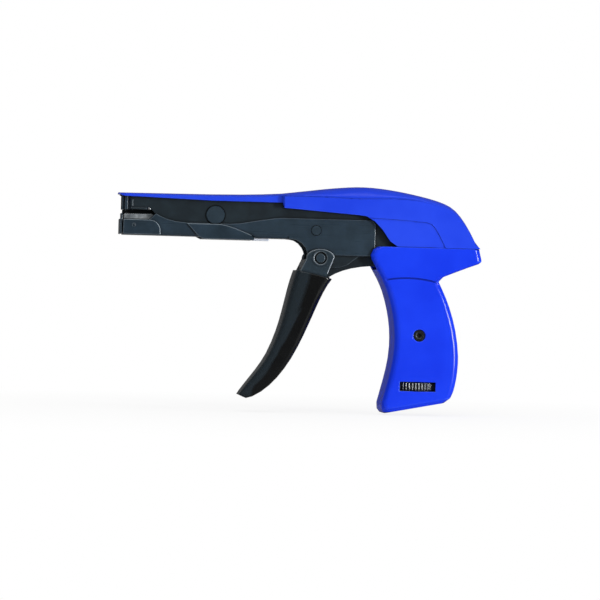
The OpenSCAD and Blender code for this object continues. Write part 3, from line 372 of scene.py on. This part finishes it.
@dataclass(frozen=True)
class BlackenedSteel(Finish):
    """Cold-rolled sheet steel, stamped and blackened.

    It gives the eye a dark blue-grey satin with faint rolling lines along the sheet, cloudy
    patches where the bath took unevenly, and paler sheared edges, which also carry a painted
    highlight where an edge faces up or to the rear. Gaps and corners get painted shade.
    """

    dark: str = "#161F25"
    pale: str = "#1F2B32"
    cloud_mm: float = 9.0
    cloud_range: tuple[float, float] = (0.3, 0.7)
    # Paler edge colour: scuffing, and a painted highlight where an edge faces up or to the rear.
    edge: str = "#5E6C76"
    scuff_and_highlight: float = 0.8
    # Painted shade in gaps and corners: how far it reaches and how dark it gets.
    shade_reach_mm: float = 1.4
    shade_depth: float = 0.8
    # Length, depth and width of a rolling line. Real lines are finer, and wouldn't show here.
    line_mm: tuple[float, float, float] = (24.0, 2.0, 0.5)
    line_relief_mm: float = 0.01
    rolled: float = 0.02
    roughness: float = 0.3
    ior: float = 1.5

    def paint(
        self,
        tree: bpy.types.NodeTree,
        shader: bpy.types.Node,
        place: bpy.types.NodeSocket,
    ) -> None:
        """Fills the blackened steel's tree.

        Args:
            tree: The material's node tree.
            shader: Its Principled node.
            place: Object coordinates, in metres.
        """
        cloud = add_node(
            tree,
            "ShaderNodeTexNoise",
            {"Scale": per_mm(self.cloud_mm), "Detail": 4.0, "Roughness": 0.6},
            {"Vector": place},
        )
        low, high = self.cloud_range
        colour = ramp(tree, cloud.outputs["Fac"], [(low, self.dark), (high, self.pale)])
        # Paler edges with painted highlight, then painted shade in gaps and corners.
        colour = scuffed_and_highlit(tree, colour, self.edge, self.scuff_and_highlight)
        painted_corner_shade(tree, shader, colour, self.shade_reach_mm, self.shade_depth)
        along = add_node(
            tree,
            "ShaderNodeMapping",
            {"Scale": tuple(per_mm(size) for size in self.line_mm)},
            {"Vector": place},
        )
        lines = add_node(
            tree,
            "ShaderNodeTexNoise",
            {"Scale": 1.0, "Detail": 3.0, "Roughness": 0.6},
            {"Vector": along.outputs["Vector"]},
        )
        rough = add_node(
            tree,
            "ShaderNodeMapRange",
            {"To Min": self.roughness - self.rolled, "To Max": self.roughness + self.rolled},
            {"Value": lines.outputs["Fac"]},
        )
        tree.links.new(rough.outputs["Result"], shader.inputs["Roughness"])
        bump = add_node(
            tree,
            "ShaderNodeBump",
            {"Strength": self.rolled, "Distance": self.line_relief_mm * MM},
            {"Height": lines.outputs["Fac"]},
        )
        tree.links.new(bump.outputs["Normal"], shader.inputs["Normal"])
        shader.inputs["IOR"].default_value = self.ior


@dataclass(frozen=True)
class DippedVinyl(Finish):
    """Soft vinyl, dipped over the trigger's steel lever.

    It gives the eye a deep black with broad, slightly wavy highlights, and a greyer front, a
    painted light on the side that the light falls on. Gaps and corners get painted shade.
    """

    colour: str = "#030405"
    pale: str = "#07090A"
    wave_mm: float = 7.0
    wave_range: tuple[float, float] = (0.3, 0.7)
    wave_depth_mm: float = 0.12
    wave_strength: float = 0.2
    # Painted light: the front of the sleeve is painted paler, fading back to black further to the
    # rear.
    painted_light: str = "#1B242A"
    lit_front_to: float = 0.36
    unlit_from: float = 0.46
    # Painted shade in gaps and corners: how far it reaches and how dark it gets.
    shade_reach_mm: float = 1.4
    shade_depth: float = 0.8
    roughness: float = 0.24
    ior: float = 1.5

    def paint(
        self,
        tree: bpy.types.NodeTree,
        shader: bpy.types.Node,
        place: bpy.types.NodeSocket,
    ) -> None:
        """Fills the vinyl's tree.

        Args:
            tree: The material's node tree.
            shader: Its Principled node.
            place: Object coordinates, in metres.
        """
        wave = add_node(
            tree,
            "ShaderNodeTexNoise",
            {"Scale": per_mm(self.wave_mm), "Detail": 2.0, "Roughness": 0.5},
            {"Vector": place},
        )
        low, high = self.wave_range
        colour = ramp(tree, wave.outputs["Fac"], [(low, self.colour), (high, self.pale)])
        # Painted light, paler towards the sleeve's front.
        stops = [
            (0.0, self.painted_light),
            (self.lit_front_to, self.painted_light),
            (self.unlit_from, self.colour),
            (1.0, self.colour),
        ]
        rear = add_node(tree, "ShaderNodeAttribute", {"attribute_name": REAR})
        both = add_node(
            tree,
            "ShaderNodeVectorMath",
            {"operation": "MAXIMUM"},
            {"0": colour, "1": ramp(tree, rear.outputs["Fac"], stops)},
        )
        # Painted shade in gaps and corners.
        painted_corner_shade(tree, shader, both.outputs["Vector"], self.shade_reach_mm, self.shade_depth)
        bump = add_node(
            tree,
            "ShaderNodeBump",
            {"Strength": self.wave_strength, "Distance": self.wave_depth_mm * MM},
            {"Height": wave.outputs["Fac"]},
        )
        tree.links.new(bump.outputs["Normal"], shader.inputs["Normal"])
        shader.inputs["Roughness"].default_value = self.roughness
        shader.inputs["IOR"].default_value = self.ior


@dataclass(frozen=True)
class GroundSteel(Finish):
    """Carbon steel with a ground or drawn surface, oiled.

    It gives the eye fine scratches in one direction and a grey that swings between light and
    dark with what it reflects. Its paler edges carry a painted highlight where they face up or
    to the rear.
    """

    colour: str = "#B4B8BC"
    stain: str = "#84888C"
    stain_mm: float = 5.0
    stain_range: tuple[float, float] = (0.36, 0.58)
    # Paler edge colour: scuffing, and a painted highlight where an edge faces up or to the rear.
    edge: str = "#E2E5E8"
    scuff_and_highlight: float = 0.6
    # Width and length of a scratch. Real scratches are finer, and wouldn't show here.
    grain_mm: float = 0.35
    grain_long_mm: float = 18.0
    grain_depth_mm: float = 0.02
    grain_strength: float = 0.3
    along: Axis = Axis.X
    roughness: float = 0.28
    smoother: float = 0.08
    rougher: float = 0.14
    metal: float = 1.0

    def paint(
        self,
        tree: bpy.types.NodeTree,
        shader: bpy.types.Node,
        place: bpy.types.NodeSocket,
    ) -> None:
        """Fills the ground steel's tree.

        Args:
            tree: The material's node tree.
            shader: Its Principled node.
            place: Object coordinates, in metres.
        """
        stain = add_node(
            tree,
            "ShaderNodeTexNoise",
            {"Scale": per_mm(self.stain_mm), "Detail": 5.0, "Roughness": 0.65},
            {"Vector": place},
        )
        low, high = self.stain_range
        colour = ramp(tree, stain.outputs["Fac"], [(low, self.stain), (high, self.colour)])
        # Paler edges, with a painted highlight where they face up or to the rear.
        colour = scuffed_and_highlit(tree, colour, self.edge, self.scuff_and_highlight)
        tree.links.new(colour, shader.inputs["Base Color"])
        fine, coarse = per_mm(self.grain_mm), per_mm(self.grain_long_mm)
        scale = tuple(coarse if part else fine for part in self.along.value)
        drawn = add_node(tree, "ShaderNodeMapping", {"Scale": scale}, {"Vector": place})
        grain = add_node(
            tree,
            "ShaderNodeTexNoise",
            {"Scale": 1.0, "Detail": 4.0, "Roughness": 0.7},
            {"Vector": drawn.outputs["Vector"]},
        )
        low, high = self.roughness - self.smoother, self.roughness + self.rougher
        rough = add_node(
            tree,
            "ShaderNodeMapRange",
            {"To Min": low, "To Max": high},
            {"Value": grain.outputs["Fac"]},
        )
        tree.links.new(rough.outputs["Result"], shader.inputs["Roughness"])
        bump = add_node(
            tree,
            "ShaderNodeBump",
            {"Strength": self.grain_strength, "Distance": self.grain_depth_mm * MM},
            {"Height": grain.outputs["Fac"]},
        )
        tree.links.new(bump.outputs["Normal"], shader.inputs["Normal"])
        shader.inputs["Metallic"].default_value = self.metal


@dataclass(frozen=True)
class Finishes:
    """All finishes of the tool."""

    enamel: Enamel = Enamel("stoved_blue_enamel")
    # The cover's enamel is a lighter copy of the grip's, as painted light on the upper part.
    cover: Enamel = Enamel("stoved_blue_enamel_painted_lighter_for_the_cover", deep="#1A3CD2", light="#2244DA")
    frame: BlackenedSteel = BlackenedSteel("blackened_sheet_steel")
    # The pale edge colours of these steels are scuffing and a painted highlight on edges up and to
    # the rear.
    channel: BlackenedSteel = BlackenedSteel(
        "blackened_channel_steel",
        dark="#1C2A34",
        pale="#273744",
        edge="#8494A0",
        roughness=0.28,
    )
    pressed: BlackenedSteel = BlackenedSteel(
        "blackened_pressed_steel",
        dark="#1C2A34",
        pale="#273744",
        edge="#A0AEB8",
        scuff_and_highlight=1.0,
        roughness=0.26,
    )
    lever: BlackenedSteel = BlackenedSteel(
        "blackened_lever_steel",
        dark="#1F2B33",
        pale="#283640",
        edge="#B8C2CA",
        roughness=0.26,
    )
    rivet: BlackenedSteel = BlackenedSteel(
        "blackened_rivet_steel",
        dark="#1F2C35",
        pale="#2B3A45",
        edge="#7C8C98",
        rolled=0.0,
        roughness=0.26,
    )
    oxide: BlackenedSteel = BlackenedSteel(
        "black_oxide_screw_steel", dark="#08090B", pale="#101316", edge="#6A7074"
    )
    vinyl: DippedVinyl = DippedVinyl("dipped_black_vinyl")
    bright: GroundSteel = GroundSteel("ground_tool_steel")
    pawl: GroundSteel = GroundSteel(
        "hardened_pawl_steel",
        colour="#C6CCD0",
        stain="#7A8288",
        edge="#F6F8FA",
        roughness=0.32,
        metal=0.5,
    )
    zinc: GroundSteel = GroundSteel(
        "zinc_plated_steel",
        colour="#E6ECF8",
        stain="#D2DAEA",
        edge="#F4F7FD",
        roughness=0.4,
        metal=0.2,
    )
    dull: GroundSteel = GroundSteel(
        "oiled_spring_steel",
        colour="#4C5155",
        stain="#34373A",
        edge="#7C8185",
        roughness=0.34,
    )
    knurl: GroundSteel = GroundSteel(
        "turned_wheel_steel",
        colour="#46494D",
        stain="#25282B",
        edge="#C4C8CB",
        along=Axis.Z,
        roughness=0.3,
    )


# ---------------------------------------------------------------- making pieces


@dataclass(frozen=True)
class Rounding:
    """How a solid's edges are rounded for the picture, with angles in degrees."""

    width_mm: float = 0.15
    segments: int = 2
    sharper_than: float = 24.0
    smooth_below: float = 32.0


@dataclass(frozen=True)
class Room:
    """How much room a rounding needs. Lengths are multiples of the rounding's own width."""

    beside: float = 1.5
    between_corners: float = 2.2
    bend_radius: float = 1.6
    round_a_fault: float = 3.0
    long_edge: float = 12.0
    long_edge_cuts: int = 4
    straight_rad: float = 1e-3
    corner_deg: float = 50.0


@dataclass
class Workshop:
    """Makes rounded pieces from solids and hands them to their bodies.

    A rounding may not run into its neighbour, so an edge with too little room stays sharp. What
    is left is rounded and looked over, and edges next to a fault stay sharp in the next try.
    """

    loaded: Mapping[str, Any]
    finishes: Finishes
    made: list[str] = field(default_factory=list)
    room: Room = Room()
    tries: int = 20
    same_place_m: float = 1e-6
    flat_deg: float = 0.6
    box_slack_m: float = 1e-5
    # How pale a rounded face is marked: a painted highlight on faces up and to the rear, a little
    # scuffing on all.
    top_highlight: float = 0.6
    rear_highlight: float = 1.5
    least_rub: float = 0.15

    def body_of(self, node: str) -> str:
        """Returns the name of the body that a node belongs to."""
        bodies = self.loaded["record"]["behaviour"]["bodies"]
        return next(body for body, members in bodies.items() if node in members)

    def paint_solid(self, node: str, finish: Finish) -> None:
        """Gives a solid a finish and leaves its shape alone.

        Args:
            node: The solid's name.
            finish: Its finish.
        """
        mesh = self.loaded["nodes"][node].data
        mesh.materials.clear()
        mesh.materials.append(finish.material())

    def rounded(self, node: str, finish: Finish, slot: Slot, how: Rounding) -> bpy.types.Object:
        """Makes a copy of a solid with rounded edges, which stands for it.

        Args:
            node: The solid's name.
            finish: The piece's finish.
            slot: The record's slot for it; not used.
            how: How its edges are rounded.

        Returns:
            The piece.
        """
        source = self.loaded["nodes"][node].data
        plain = self.bevelled(source, Rounding(0.0), [])
        allowed = len(self.faults(plain, source))
        blocked: list[Vector] = []
        for _ in range(self.tries):
            bm = self.bevelled(source, how, blocked)
            faults = self.faults(bm, source)
            if len(faults) <= allowed:
                plain.free()
                break
            blocked += faults
            bm.free()
        else:
            log.info("%s keeps its edges", node)
            bm = plain
        return self.hand_over(bm, node, finish, how)

    def bevelled(
        self, source: bpy.types.Mesh, how: Rounding, blocked: Sequence[Vector]
    ) -> bmesh.types.BMesh:
        """Copies a mesh and rounds those of its sharp edges that have room for it.

        Args:
            source: The solid's mesh.
            how: How its edges are rounded.
            blocked: Places whose edges stay sharp.

        Returns:
            The rounded copy, with its faces' mark of scuffing and painted highlight.
        """
        bm = bmesh.new()
        bm.from_mesh(source)
        bmesh.ops.remove_doubles(bm, verts=bm.verts, dist=self.same_place_m)
        flat = math.radians(self.flat_deg)
        bmesh.ops.dissolve_limit(bm, angle_limit=flat, verts=bm.verts, edges=bm.edges)
        mark = bm.faces.layers.float.new(EDGE_WEAR_AND_HIGHLIGHT)
        limit, width = math.radians(how.sharper_than), how.width_mm * MM
        if width <= 0:
            return bm
        # A long edge is cut up, so that a fault at its end doesn't keep all of it sharp.
        least = self.room.long_edge * width
        long = [e for e in self.sharp_edges(bm, limit) if e.calc_length() > least]
        if long:
            bmesh.ops.bisect_edges(bm, edges=long, cuts=self.room.long_edge_cuts)
        sharp = self.roomy(set(self.sharp_edges(bm, limit)), width, blocked)
        if not sharp:
            return bm
        cut = bmesh.ops.bevel(
            bm,
            geom=[e for e in bm.edges if e in sharp],
            offset=width,
            offset_type="OFFSET",
            segments=how.segments,
            profile=0.5,
            affect="EDGES",
            clamp_overlap=False,
            material=-1,
        )
        # Painted highlight: faces turned up or to the rear get a paler mark, and every one a little
        # for scuffing.
        for face in cut["faces"]:
            painted_light = max(self.top_highlight * face.normal.z, self.rear_highlight * face.normal.x)
            face[mark] = max(self.least_rub, min(1.0, painted_light))
        return bm

    def sharp_edges(self, bm: bmesh.types.BMesh, limit: float) -> list[bmesh.types.BMEdge]:
        """Returns the edges whose faces meet at more than an angle, in the mesh's order."""
        return [e for e in bm.edges if e.is_manifold and e.calc_face_angle(0) > limit]

    def roomy(
        self, sharp: set[bmesh.types.BMEdge], width: float, blocked: Sequence[Vector]
    ) -> set[bmesh.types.BMEdge]:
        """Picks the edges that have room for their rounding.

        Args:
            sharp: The sharp edges.
            width: How wide the rounding is, in metres.
            blocked: Places whose edges stay sharp.

        Returns:
            The edges to round.
        """
        for place in blocked:
            reach = self.room.round_a_fault * width
            sharp = {e for e in sharp if self.gap(e, place) > reach}
        for _ in range(self.tries):
            tight = {v for e in sharp for v in e.verts if self.tight(v, sharp, width)}
            kept = {e for e in sharp if not tight.intersection(e.verts)}
            if len(kept) == len(sharp):
                break
            sharp = kept
        return sharp

    def gap(self, edge: bmesh.types.BMEdge, place: Vector) -> float:
        """Returns the distance from a place to the nearest point of an edge."""
        start, end = (v.co for v in edge.verts)
        run = end - start
        share = max(0.0, min(1.0, (place - start).dot(run) / max(run.length_squared, TINY)))
        return (place - start - run * share).length

    def tight(
        self, vert: bmesh.types.BMVert, sharp: set[bmesh.types.BMEdge], width: float
    ) -> bool:
        """Tells whether the edges that meet in a point have too little room for rounding.

        Args:
            vert: The point.
            sharp: The edges that would be rounded.
            width: How wide the rounding is, in metres.

        Returns:
            True where the rounding would run into itself.
        """
        room = self.room
        mine = [e for e in vert.link_edges if e in sharp]
        others = [e for e in vert.link_edges if e not in sharp]
        if any(e.calc_length() < room.beside * width for e in others):
            return True
        corner_room = room.between_corners * width
        if len(mine) != 2:
            return len(mine) > 2 and any(e.calc_length() < corner_room for e in mine)
        one, two = (e.other_vert(vert).co - vert.co for e in mine)
        turn = math.pi - one.angle(two, math.pi)
        if turn < room.straight_rad:
            return False
        if turn > math.radians(room.corner_deg):
            return min(one.length, two.length) < corner_room
        return (one.length + two.length) / 2 / turn < room.bend_radius * width

    def faults(self, bm: bmesh.types.BMesh, source: bpy.types.Mesh) -> list[Vector]:
        """Finds where a rounded mesh crosses itself or leaves the solid's box.

        Args:
            bm: The rounded mesh.
            source: The solid's mesh.

        Returns:
            The places at fault.
        """
        slack = self.box_slack_m
        low = [min(v.co[i] for v in source.vertices) - slack for i in range(3)]
        high = [max(v.co[i] for v in source.vertices) + slack for i in range(3)]
        found = [
            v.co.copy()
            for v in bm.verts
            if any(not low[i] <= v.co[i] <= high[i] for i in range(3))
        ]
        bm.faces.ensure_lookup_table()
        tree = BVHTree.FromBMesh(bm)
        for first, second in tree.overlap(tree):
            one, two = bm.faces[first], bm.faces[second]
            if first < second and not set(one.verts) & set(two.verts):
                small = min(one, two, key=lambda face: face.calc_area())
                found.append(small.calc_center_median())
        return found

    def hand_over(
        self, bm: bmesh.types.BMesh, node: str, finish: Finish, how: Rounding
    ) -> bpy.types.Object:
        """Turns a bmesh into a finished piece on its body, in place of its solid.

        Args:
            bm: The piece's mesh, which is freed.
            node: The solid that it stands for.
            finish: Its finish.
            how: How smooth its faces look.

        Returns:
            The piece.
        """
        name = node + "_piece"
        mesh = bpy.data.meshes.new(name)
        bm.to_mesh(mesh)
        bm.free()
        mesh.shade_smooth()
        mesh.set_sharp_from_angle(angle=math.radians(how.smooth_below))
        piece = bpy.data.objects.new(name, mesh)
        bpy.context.scene.collection.objects.link(piece)
        flat = piece.modifiers.new("flat_faces", "WEIGHTED_NORMAL")
        flat.mode, flat.weight, flat.keep_sharp = "FACE_AREA", 100, True
        mesh.materials.append(finish.material())
        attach(piece, self.body_of(node))
        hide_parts(node)
        self.made.append(name)
        return piece


# ---------------------------------------------------------------- sub-assemblies


@dataclass
class Shells:
    """The blue cover and the two grip shells."""

    shop: Workshop
    cover_edge: Rounding = Rounding(0.3, segments=3, sharper_than=80.0, smooth_below=40.0)
    grip_edge: Rounding = Rounding(0.45, segments=3, sharper_than=38.0, smooth_below=40.0)

    def build(self) -> None:
        """Makes the shells."""
        done = self.shop.finishes
        self.shop.rounded("top_cover", done.cover, Slot.BLUE, self.cover_edge)
        for node in ("grip_shell_left", "grip_shell_right"):
            self.shop.rounded(node, done.enamel, Slot.BLUE, self.grip_edge)


@dataclass
class Frame:
    """The stamped plates of the barrel, with their rivets and pins."""

    shop: Workshop
    plate_edge: Rounding = Rounding(0.3)
    pressed_edge: Rounding = Rounding(0.35, segments=3)
    rivet_edge: Rounding = Rounding(0.2, segments=3)

    def build(self) -> None:
        """Makes the frame's pieces."""
        done, plate = self.shop.finishes, self.plate_edge
        for node in ("inner_frame_left", "inner_frame_right", "strap_guide"):
            self.shop.rounded(node, done.frame, Slot.BLACK, plate)
        for node in ("outer_frame", "nose_plate", "blade_guide_left", "blade_guide_right"):
            self.shop.rounded(node, done.channel, Slot.BLACK, plate)
        for node in ("nose_bracket_left", "nose_bracket_right", "barrel_clip"):
            self.shop.rounded(node, done.pressed, Slot.BLACK, self.pressed_edge)
        for node in ("cutter_rivet", "frame_rivet", "pivot_pin", "nose_rivets"):
            self.shop.rounded(node, done.rivet, Slot.BLACK, self.rivet_edge)
        self.shop.rounded("guide_pin", done.bright, Slot.STEEL, plate)
        self.shop.rounded("spring_anchor", done.zinc, Slot.STEEL, plate)
        for node in ("rocker_pin", "lever_pin", "rivet_spacer", "grip_spacer"):
            self.shop.paint_solid(node, done.dull)
        self.shop.rounded("grip_screw", done.oxide, Slot.SCREW, plate)
        self.shop.rounded("grip_nut", done.dull, Slot.STEEL, plate)


@dataclass
class Trigger:
    """The trigger's lever with its dipped sleeve and its pin."""

    shop: Workshop
    lever_edge: Rounding = Rounding(0.5, segments=4, sharper_than=45.0, smooth_below=40.0)
    sleeve_edge: Rounding = Rounding(0.6, segments=4, sharper_than=30.0, smooth_below=45.0)
    row_mm: float = 4.0

    def build(self) -> None:
        """Makes the trigger's pieces."""
        done = self.shop.finishes
        self.shop.rounded("trigger_lever", done.lever, Slot.BLACK, self.lever_edge)
        sleeve = self.shop.rounded("trigger_sleeve", done.vinyl, Slot.GLOSS, self.sleeve_edge)
        self.mark_rear(sleeve.data)
        self.shop.paint_solid("arm_pin", done.bright)

    def mark_rear(self, mesh: bpy.types.Mesh) -> None:
        """Writes how far back each point of the sleeve lies, from its front to its rear.

        Args:
            mesh: The sleeve's mesh.
        """
        rows: dict[int, list[float]] = {}
        for vert in mesh.vertices:
            rows.setdefault(self.row(vert.co), []).append(vert.co.x)
        share = mesh.attributes.new(REAR, "FLOAT", "POINT")
        for vert in mesh.vertices:
            near = [x for step in (-1, 0, 1) for x in rows.get(self.row(vert.co) + step, [])]
            low, high = min(near), max(near)
            share.data[vert.index].value = (vert.co.x - low) / max(high - low, MM)

    def row(self, place: Vector) -> int:
        """Returns the number of the level that a place on the sleeve lies in."""
        return round(place.z / (self.row_mm * MM))


@dataclass
class Mechanism:
    """The links, levers, springs and pins that run between the plates."""

    shop: Workshop
    link_edge: Rounding = Rounding(0.14)
    tooth_edge: Rounding = Rounding(0.1)
    knurl_edge: Rounding = Rounding(0.18)

    def build(self) -> None:
        """Makes the mechanism's pieces."""
        done = self.shop.finishes
        self.shop.rounded("push_arm", done.frame, Slot.BLACK, self.link_edge)
        for node in ("pull_bar", "rocker", "cut_off_lever", "tension_lever", "tension_pusher"):
            self.shop.rounded(node, done.dull, Slot.DARK, self.link_edge)
        for node in ("gripping_pawl", "cutter_blade"):
            self.shop.rounded(node, done.pawl, Slot.STEEL, self.tooth_edge)
        for node in (
            "pawl_pin",
            "link_pin",
            "draw_pin",
            "trip_pin",
            "toe_pin",
            "return_spring",
            "pawl_spring",
            "tension_spring",
            "adjuster_stud",
        ):
            self.shop.paint_solid(node, done.bright)
        self.shop.paint_solid("tension_nut", done.dull)
        self.shop.rounded("tension_wheel", done.knurl, Slot.DARK, self.knurl_edge)


# ---------------------------------------------------------------- studio


@dataclass(frozen=True)
class Softbox:
    """A lamp of the studio, which points at the tool."""

    name: str
    at_m: tuple[float, float, float]
    size_m: tuple[float, float]
    watts: float


@dataclass
class Studio:
    """Floor, lights, world and camera.

    A glow of one is pure white. The fill lights the tool, the room is what its gloss mirrors, and
    the white backdrop starts at a cosine from the line of sight.
    """

    pixel_mm: float = 0.5
    picture_px: int = 600
    distance_mm: float = 1500.0
    azimuth_deg: float = -6.5
    roll_deg: float = 1.5
    aim_mm: tuple[float, float, float] = (91.27, 0.0, -41.89)
    sensor_mm: float = 36.0
    clip_m: tuple[float, float] = (0.05, 20.0)
    white: str = "#FFFFFF"
    paper_white: str = "#F4F4F4"
    tool_at_m: tuple[float, float, float] = (0.09, 0.0, -0.03)
    floor_mm: float = -98.2
    floor_half_m: float = 0.45
    shadow_at_m: tuple[float, float] = (0.1, 0.0)
    shadow_reach_m: tuple[float, float] = (0.08, 0.3)
    shadow_glow: float = 0.85
    fill_glow: float = 0.43
    room_glow: float = 0.1
    backdrop_from: float = 0.985
    lamps: tuple[Softbox, ...] = (
        Softbox("softbox_over", (0.05, -0.3, 1.1), (2.4, 0.9), 7.0),
        Softbox("softbox_front", (-0.3, -1.1, 1.0), (0.6, 0.6), 3.5),
        Softbox("strip_grip_side", (0.64, -0.52, 0.0), (0.1, 0.19), 3.6),
    )

    def camera(self) -> None:
        """Sets the camera at the photograph's angle."""
        data = bpy.data.cameras.new("camera")
        wide = self.pixel_mm * self.picture_px
        data.sensor_width = self.sensor_mm
        data.lens = self.sensor_mm * self.distance_mm / wide
        data.clip_start, data.clip_end = self.clip_m
        camera = bpy.data.objects.new("camera", data)
        bpy.context.scene.collection.objects.link(camera)
        turn = math.radians(self.azimuth_deg)
        roll = math.radians(self.roll_deg)
        back = Vector((math.sin(turn), -math.cos(turn), 0.0))
        side = Vector((math.cos(turn), math.sin(turn), 0.0))
        top = Vector((0.0, 0.0, 1.0))
        right = side * math.cos(roll) + top * math.sin(roll)
        up = top * math.cos(roll) - side * math.sin(roll)
        place = Vector(self.aim_mm) * MM + back * self.distance_mm * MM
        camera.matrix_world = Matrix(
            (
                (right.x, up.x, back.x, place.x),
                (right.y, up.y, back.y, place.y),
                (right.z, up.z, back.z, place.z),
                (0.0, 0.0, 0.0, 1.0),
            )
        )
        bpy.context.scene.camera = camera

    def floor(self) -> None:
        """Lays the pale floor under the tool."""
        bm = bmesh.new()
        bmesh.ops.create_grid(bm, x_segments=2, y_segments=2, size=self.floor_half_m)
        x, y, _ = self.tool_at_m
        bmesh.ops.translate(bm, vec=(x, y, self.floor_mm * MM), verts=bm.verts)
        mesh = bpy.data.meshes.new("studio_floor")
        bm.to_mesh(mesh)
        bm.free()
        piece = bpy.data.objects.new("studio_floor", mesh)
        bpy.context.scene.collection.objects.link(piece)
        mesh.materials.append(self.paper())

    def paper(self) -> bpy.types.Material:
        """Makes the floor's white paper, which keeps only the tool's shadow.

        Returns:
            The material.
        """
        made = bpy.data.materials.new("white_paper_sweep")
        made.use_nodes = True
        tree = made.node_tree
        tree.nodes.clear()
        matte = add_node(tree, "ShaderNodeBsdfDiffuse", {"Color": linear(self.paper_white)})
        ray = add_node(tree, "ShaderNodeLightPath")
        power = add_node(
            tree,
            "ShaderNodeMapRange",
            {"To Min": 1.0, "To Max": self.room_glow},
            {"Value": ray.outputs["Is Glossy Ray"]},
        )
        glow = add_node(
            tree,
            "ShaderNodeEmission",
            {"Color": linear(self.white)},
            {"Strength": power.outputs["Result"]},
        )
        place = add_node(tree, "ShaderNodeTexCoord").outputs["Object"]
        away = add_node(tree, "ShaderNodeVectorMath", {"operation": "DISTANCE"}, {"0": place})
        away.inputs[1].default_value = (*self.shadow_at_m, self.floor_mm * MM)
        near, far = self.shadow_reach_m
        share = add_node(
            tree,
            "ShaderNodeMapRange",
            {"From Min": near, "From Max": far, "To Min": self.shadow_glow, "To Max": 1.0},
            {"Value": away.outputs["Value"]},
        )
        seen = add_node(
            tree,
            "ShaderNodeMath",
            {"operation": "MULTIPLY"},
            {"0": share.outputs["Result"], "1": self.seen_ray(tree)},
        )
        mix = add_node(tree, "ShaderNodeMixShader", links={"Fac": seen.outputs[0]})
        tree.links.new(matte.outputs[0], mix.inputs[1])
        tree.links.new(glow.outputs[0], mix.inputs[2])
        add_node(tree, "ShaderNodeOutputMaterial", links={"Surface": mix.outputs[0]})
        return made

    def seen_ray(self, tree: bpy.types.NodeTree) -> bpy.types.NodeSocket:
        """Tells rays that look at the background, straight, in gloss or through glass.

        Args:
            tree: The node tree that asks.

        Returns:
            A socket that is one for such a ray and nought for the rest.
        """
        ray = add_node(tree, "ShaderNodeLightPath")
        shown = ray.outputs["Is Camera Ray"]
        for name in ("Is Glossy Ray", "Is Transmission Ray"):
            both = add_node(
                tree,
                "ShaderNodeMath",
                {"operation": "MAXIMUM"},
                {"0": shown, "1": ray.outputs[name]},
            )
            shown = both.outputs[0]
        return shown

    def world(self) -> None:
        """Sets a soft grey world, with a white backdrop behind the tool and a dim room round it."""
        world = bpy.data.worlds.new("studio_world")
        bpy.context.scene.world = world
        world.use_nodes = True
        tree = world.node_tree
        tree.nodes.clear()
        white = linear(self.white)
        fill = add_node(
            tree, "ShaderNodeBackground", {"Color": white, "Strength": self.fill_glow}
        )
        backdrop = add_node(tree, "ShaderNodeBackground", {"Color": white, "Strength": 1.0})
        room = add_node(tree, "ShaderNodeBackground", {"Color": white})
        way = add_node(tree, "ShaderNodeTexCoord").outputs["Generated"]
        turn = math.radians(self.azimuth_deg)
        along = add_node(tree, "ShaderNodeVectorMath", {"operation": "DOT_PRODUCT"}, {"0": way})
        along.inputs[1].default_value = (-math.sin(turn), math.cos(turn), 0.0)
        dim = add_node(
            tree,
            "ShaderNodeMapRange",
            {
                "From Min": self.backdrop_from,
                "From Max": 1.0,
                "To Min": self.room_glow,
                "To Max": 1.0,
            },
            {"Value": along.outputs["Value"]},
        )
        tree.links.new(dim.outputs["Result"], room.inputs["Strength"])
        lit = add_node(tree, "ShaderNodeMixShader", links={"Fac": self.seen_ray(tree)})
        tree.links.new(fill.outputs[0], lit.inputs[1])
        tree.links.new(room.outputs[0], lit.inputs[2])
        ray = add_node(tree, "ShaderNodeLightPath").outputs["Is Camera Ray"]
        mix = add_node(tree, "ShaderNodeMixShader", links={"Fac": ray})
        tree.links.new(lit.outputs[0], mix.inputs[1])
        tree.links.new(backdrop.outputs[0], mix.inputs[2])
        add_node(tree, "ShaderNodeOutputWorld", links={"Surface": mix.outputs[0]})

    def hang(self, softbox: Softbox) -> None:
        """Hangs one lamp and points it at the tool.

        Args:
            softbox: What the lamp is like.
        """
        data = bpy.data.lights.new(softbox.name, "AREA")
        data.shape = "RECTANGLE"
        data.size, data.size_y = softbox.size_m
        data.energy = softbox.watts
        lamp = bpy.data.objects.new(softbox.name, data)
        lamp.visible_camera = False
        bpy.context.scene.collection.objects.link(lamp)
        lamp.location = softbox.at_m
        aim = Vector(self.tool_at_m) - Vector(softbox.at_m)
        lamp.rotation_mode = "QUATERNION"
        lamp.rotation_quaternion = aim.to_track_quat("-Z", "Y")

    def build(self) -> None:
        """Makes the whole studio."""
        bpy.context.scene.view_settings.view_transform = "Standard"
        self.camera()
        self.floor()
        self.world()
        for softbox in self.lamps:
            self.hang(softbox)


def main() -> None:
    """Builds the picture and logs the count of pieces after each sub-assembly."""
    logging.basicConfig(level=logging.INFO, format="%(name)s: %(message)s")
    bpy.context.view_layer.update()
    shop = Workshop(frame, Finishes())
    for part in (Shells(shop), Frame(shop), Trigger(shop), Mechanism(shop)):
        part.build()
        log.info("%s: %d pieces so far", type(part).__name__, len(shop.made))
    Studio().build()


if __name__ == "__main__":
    main()
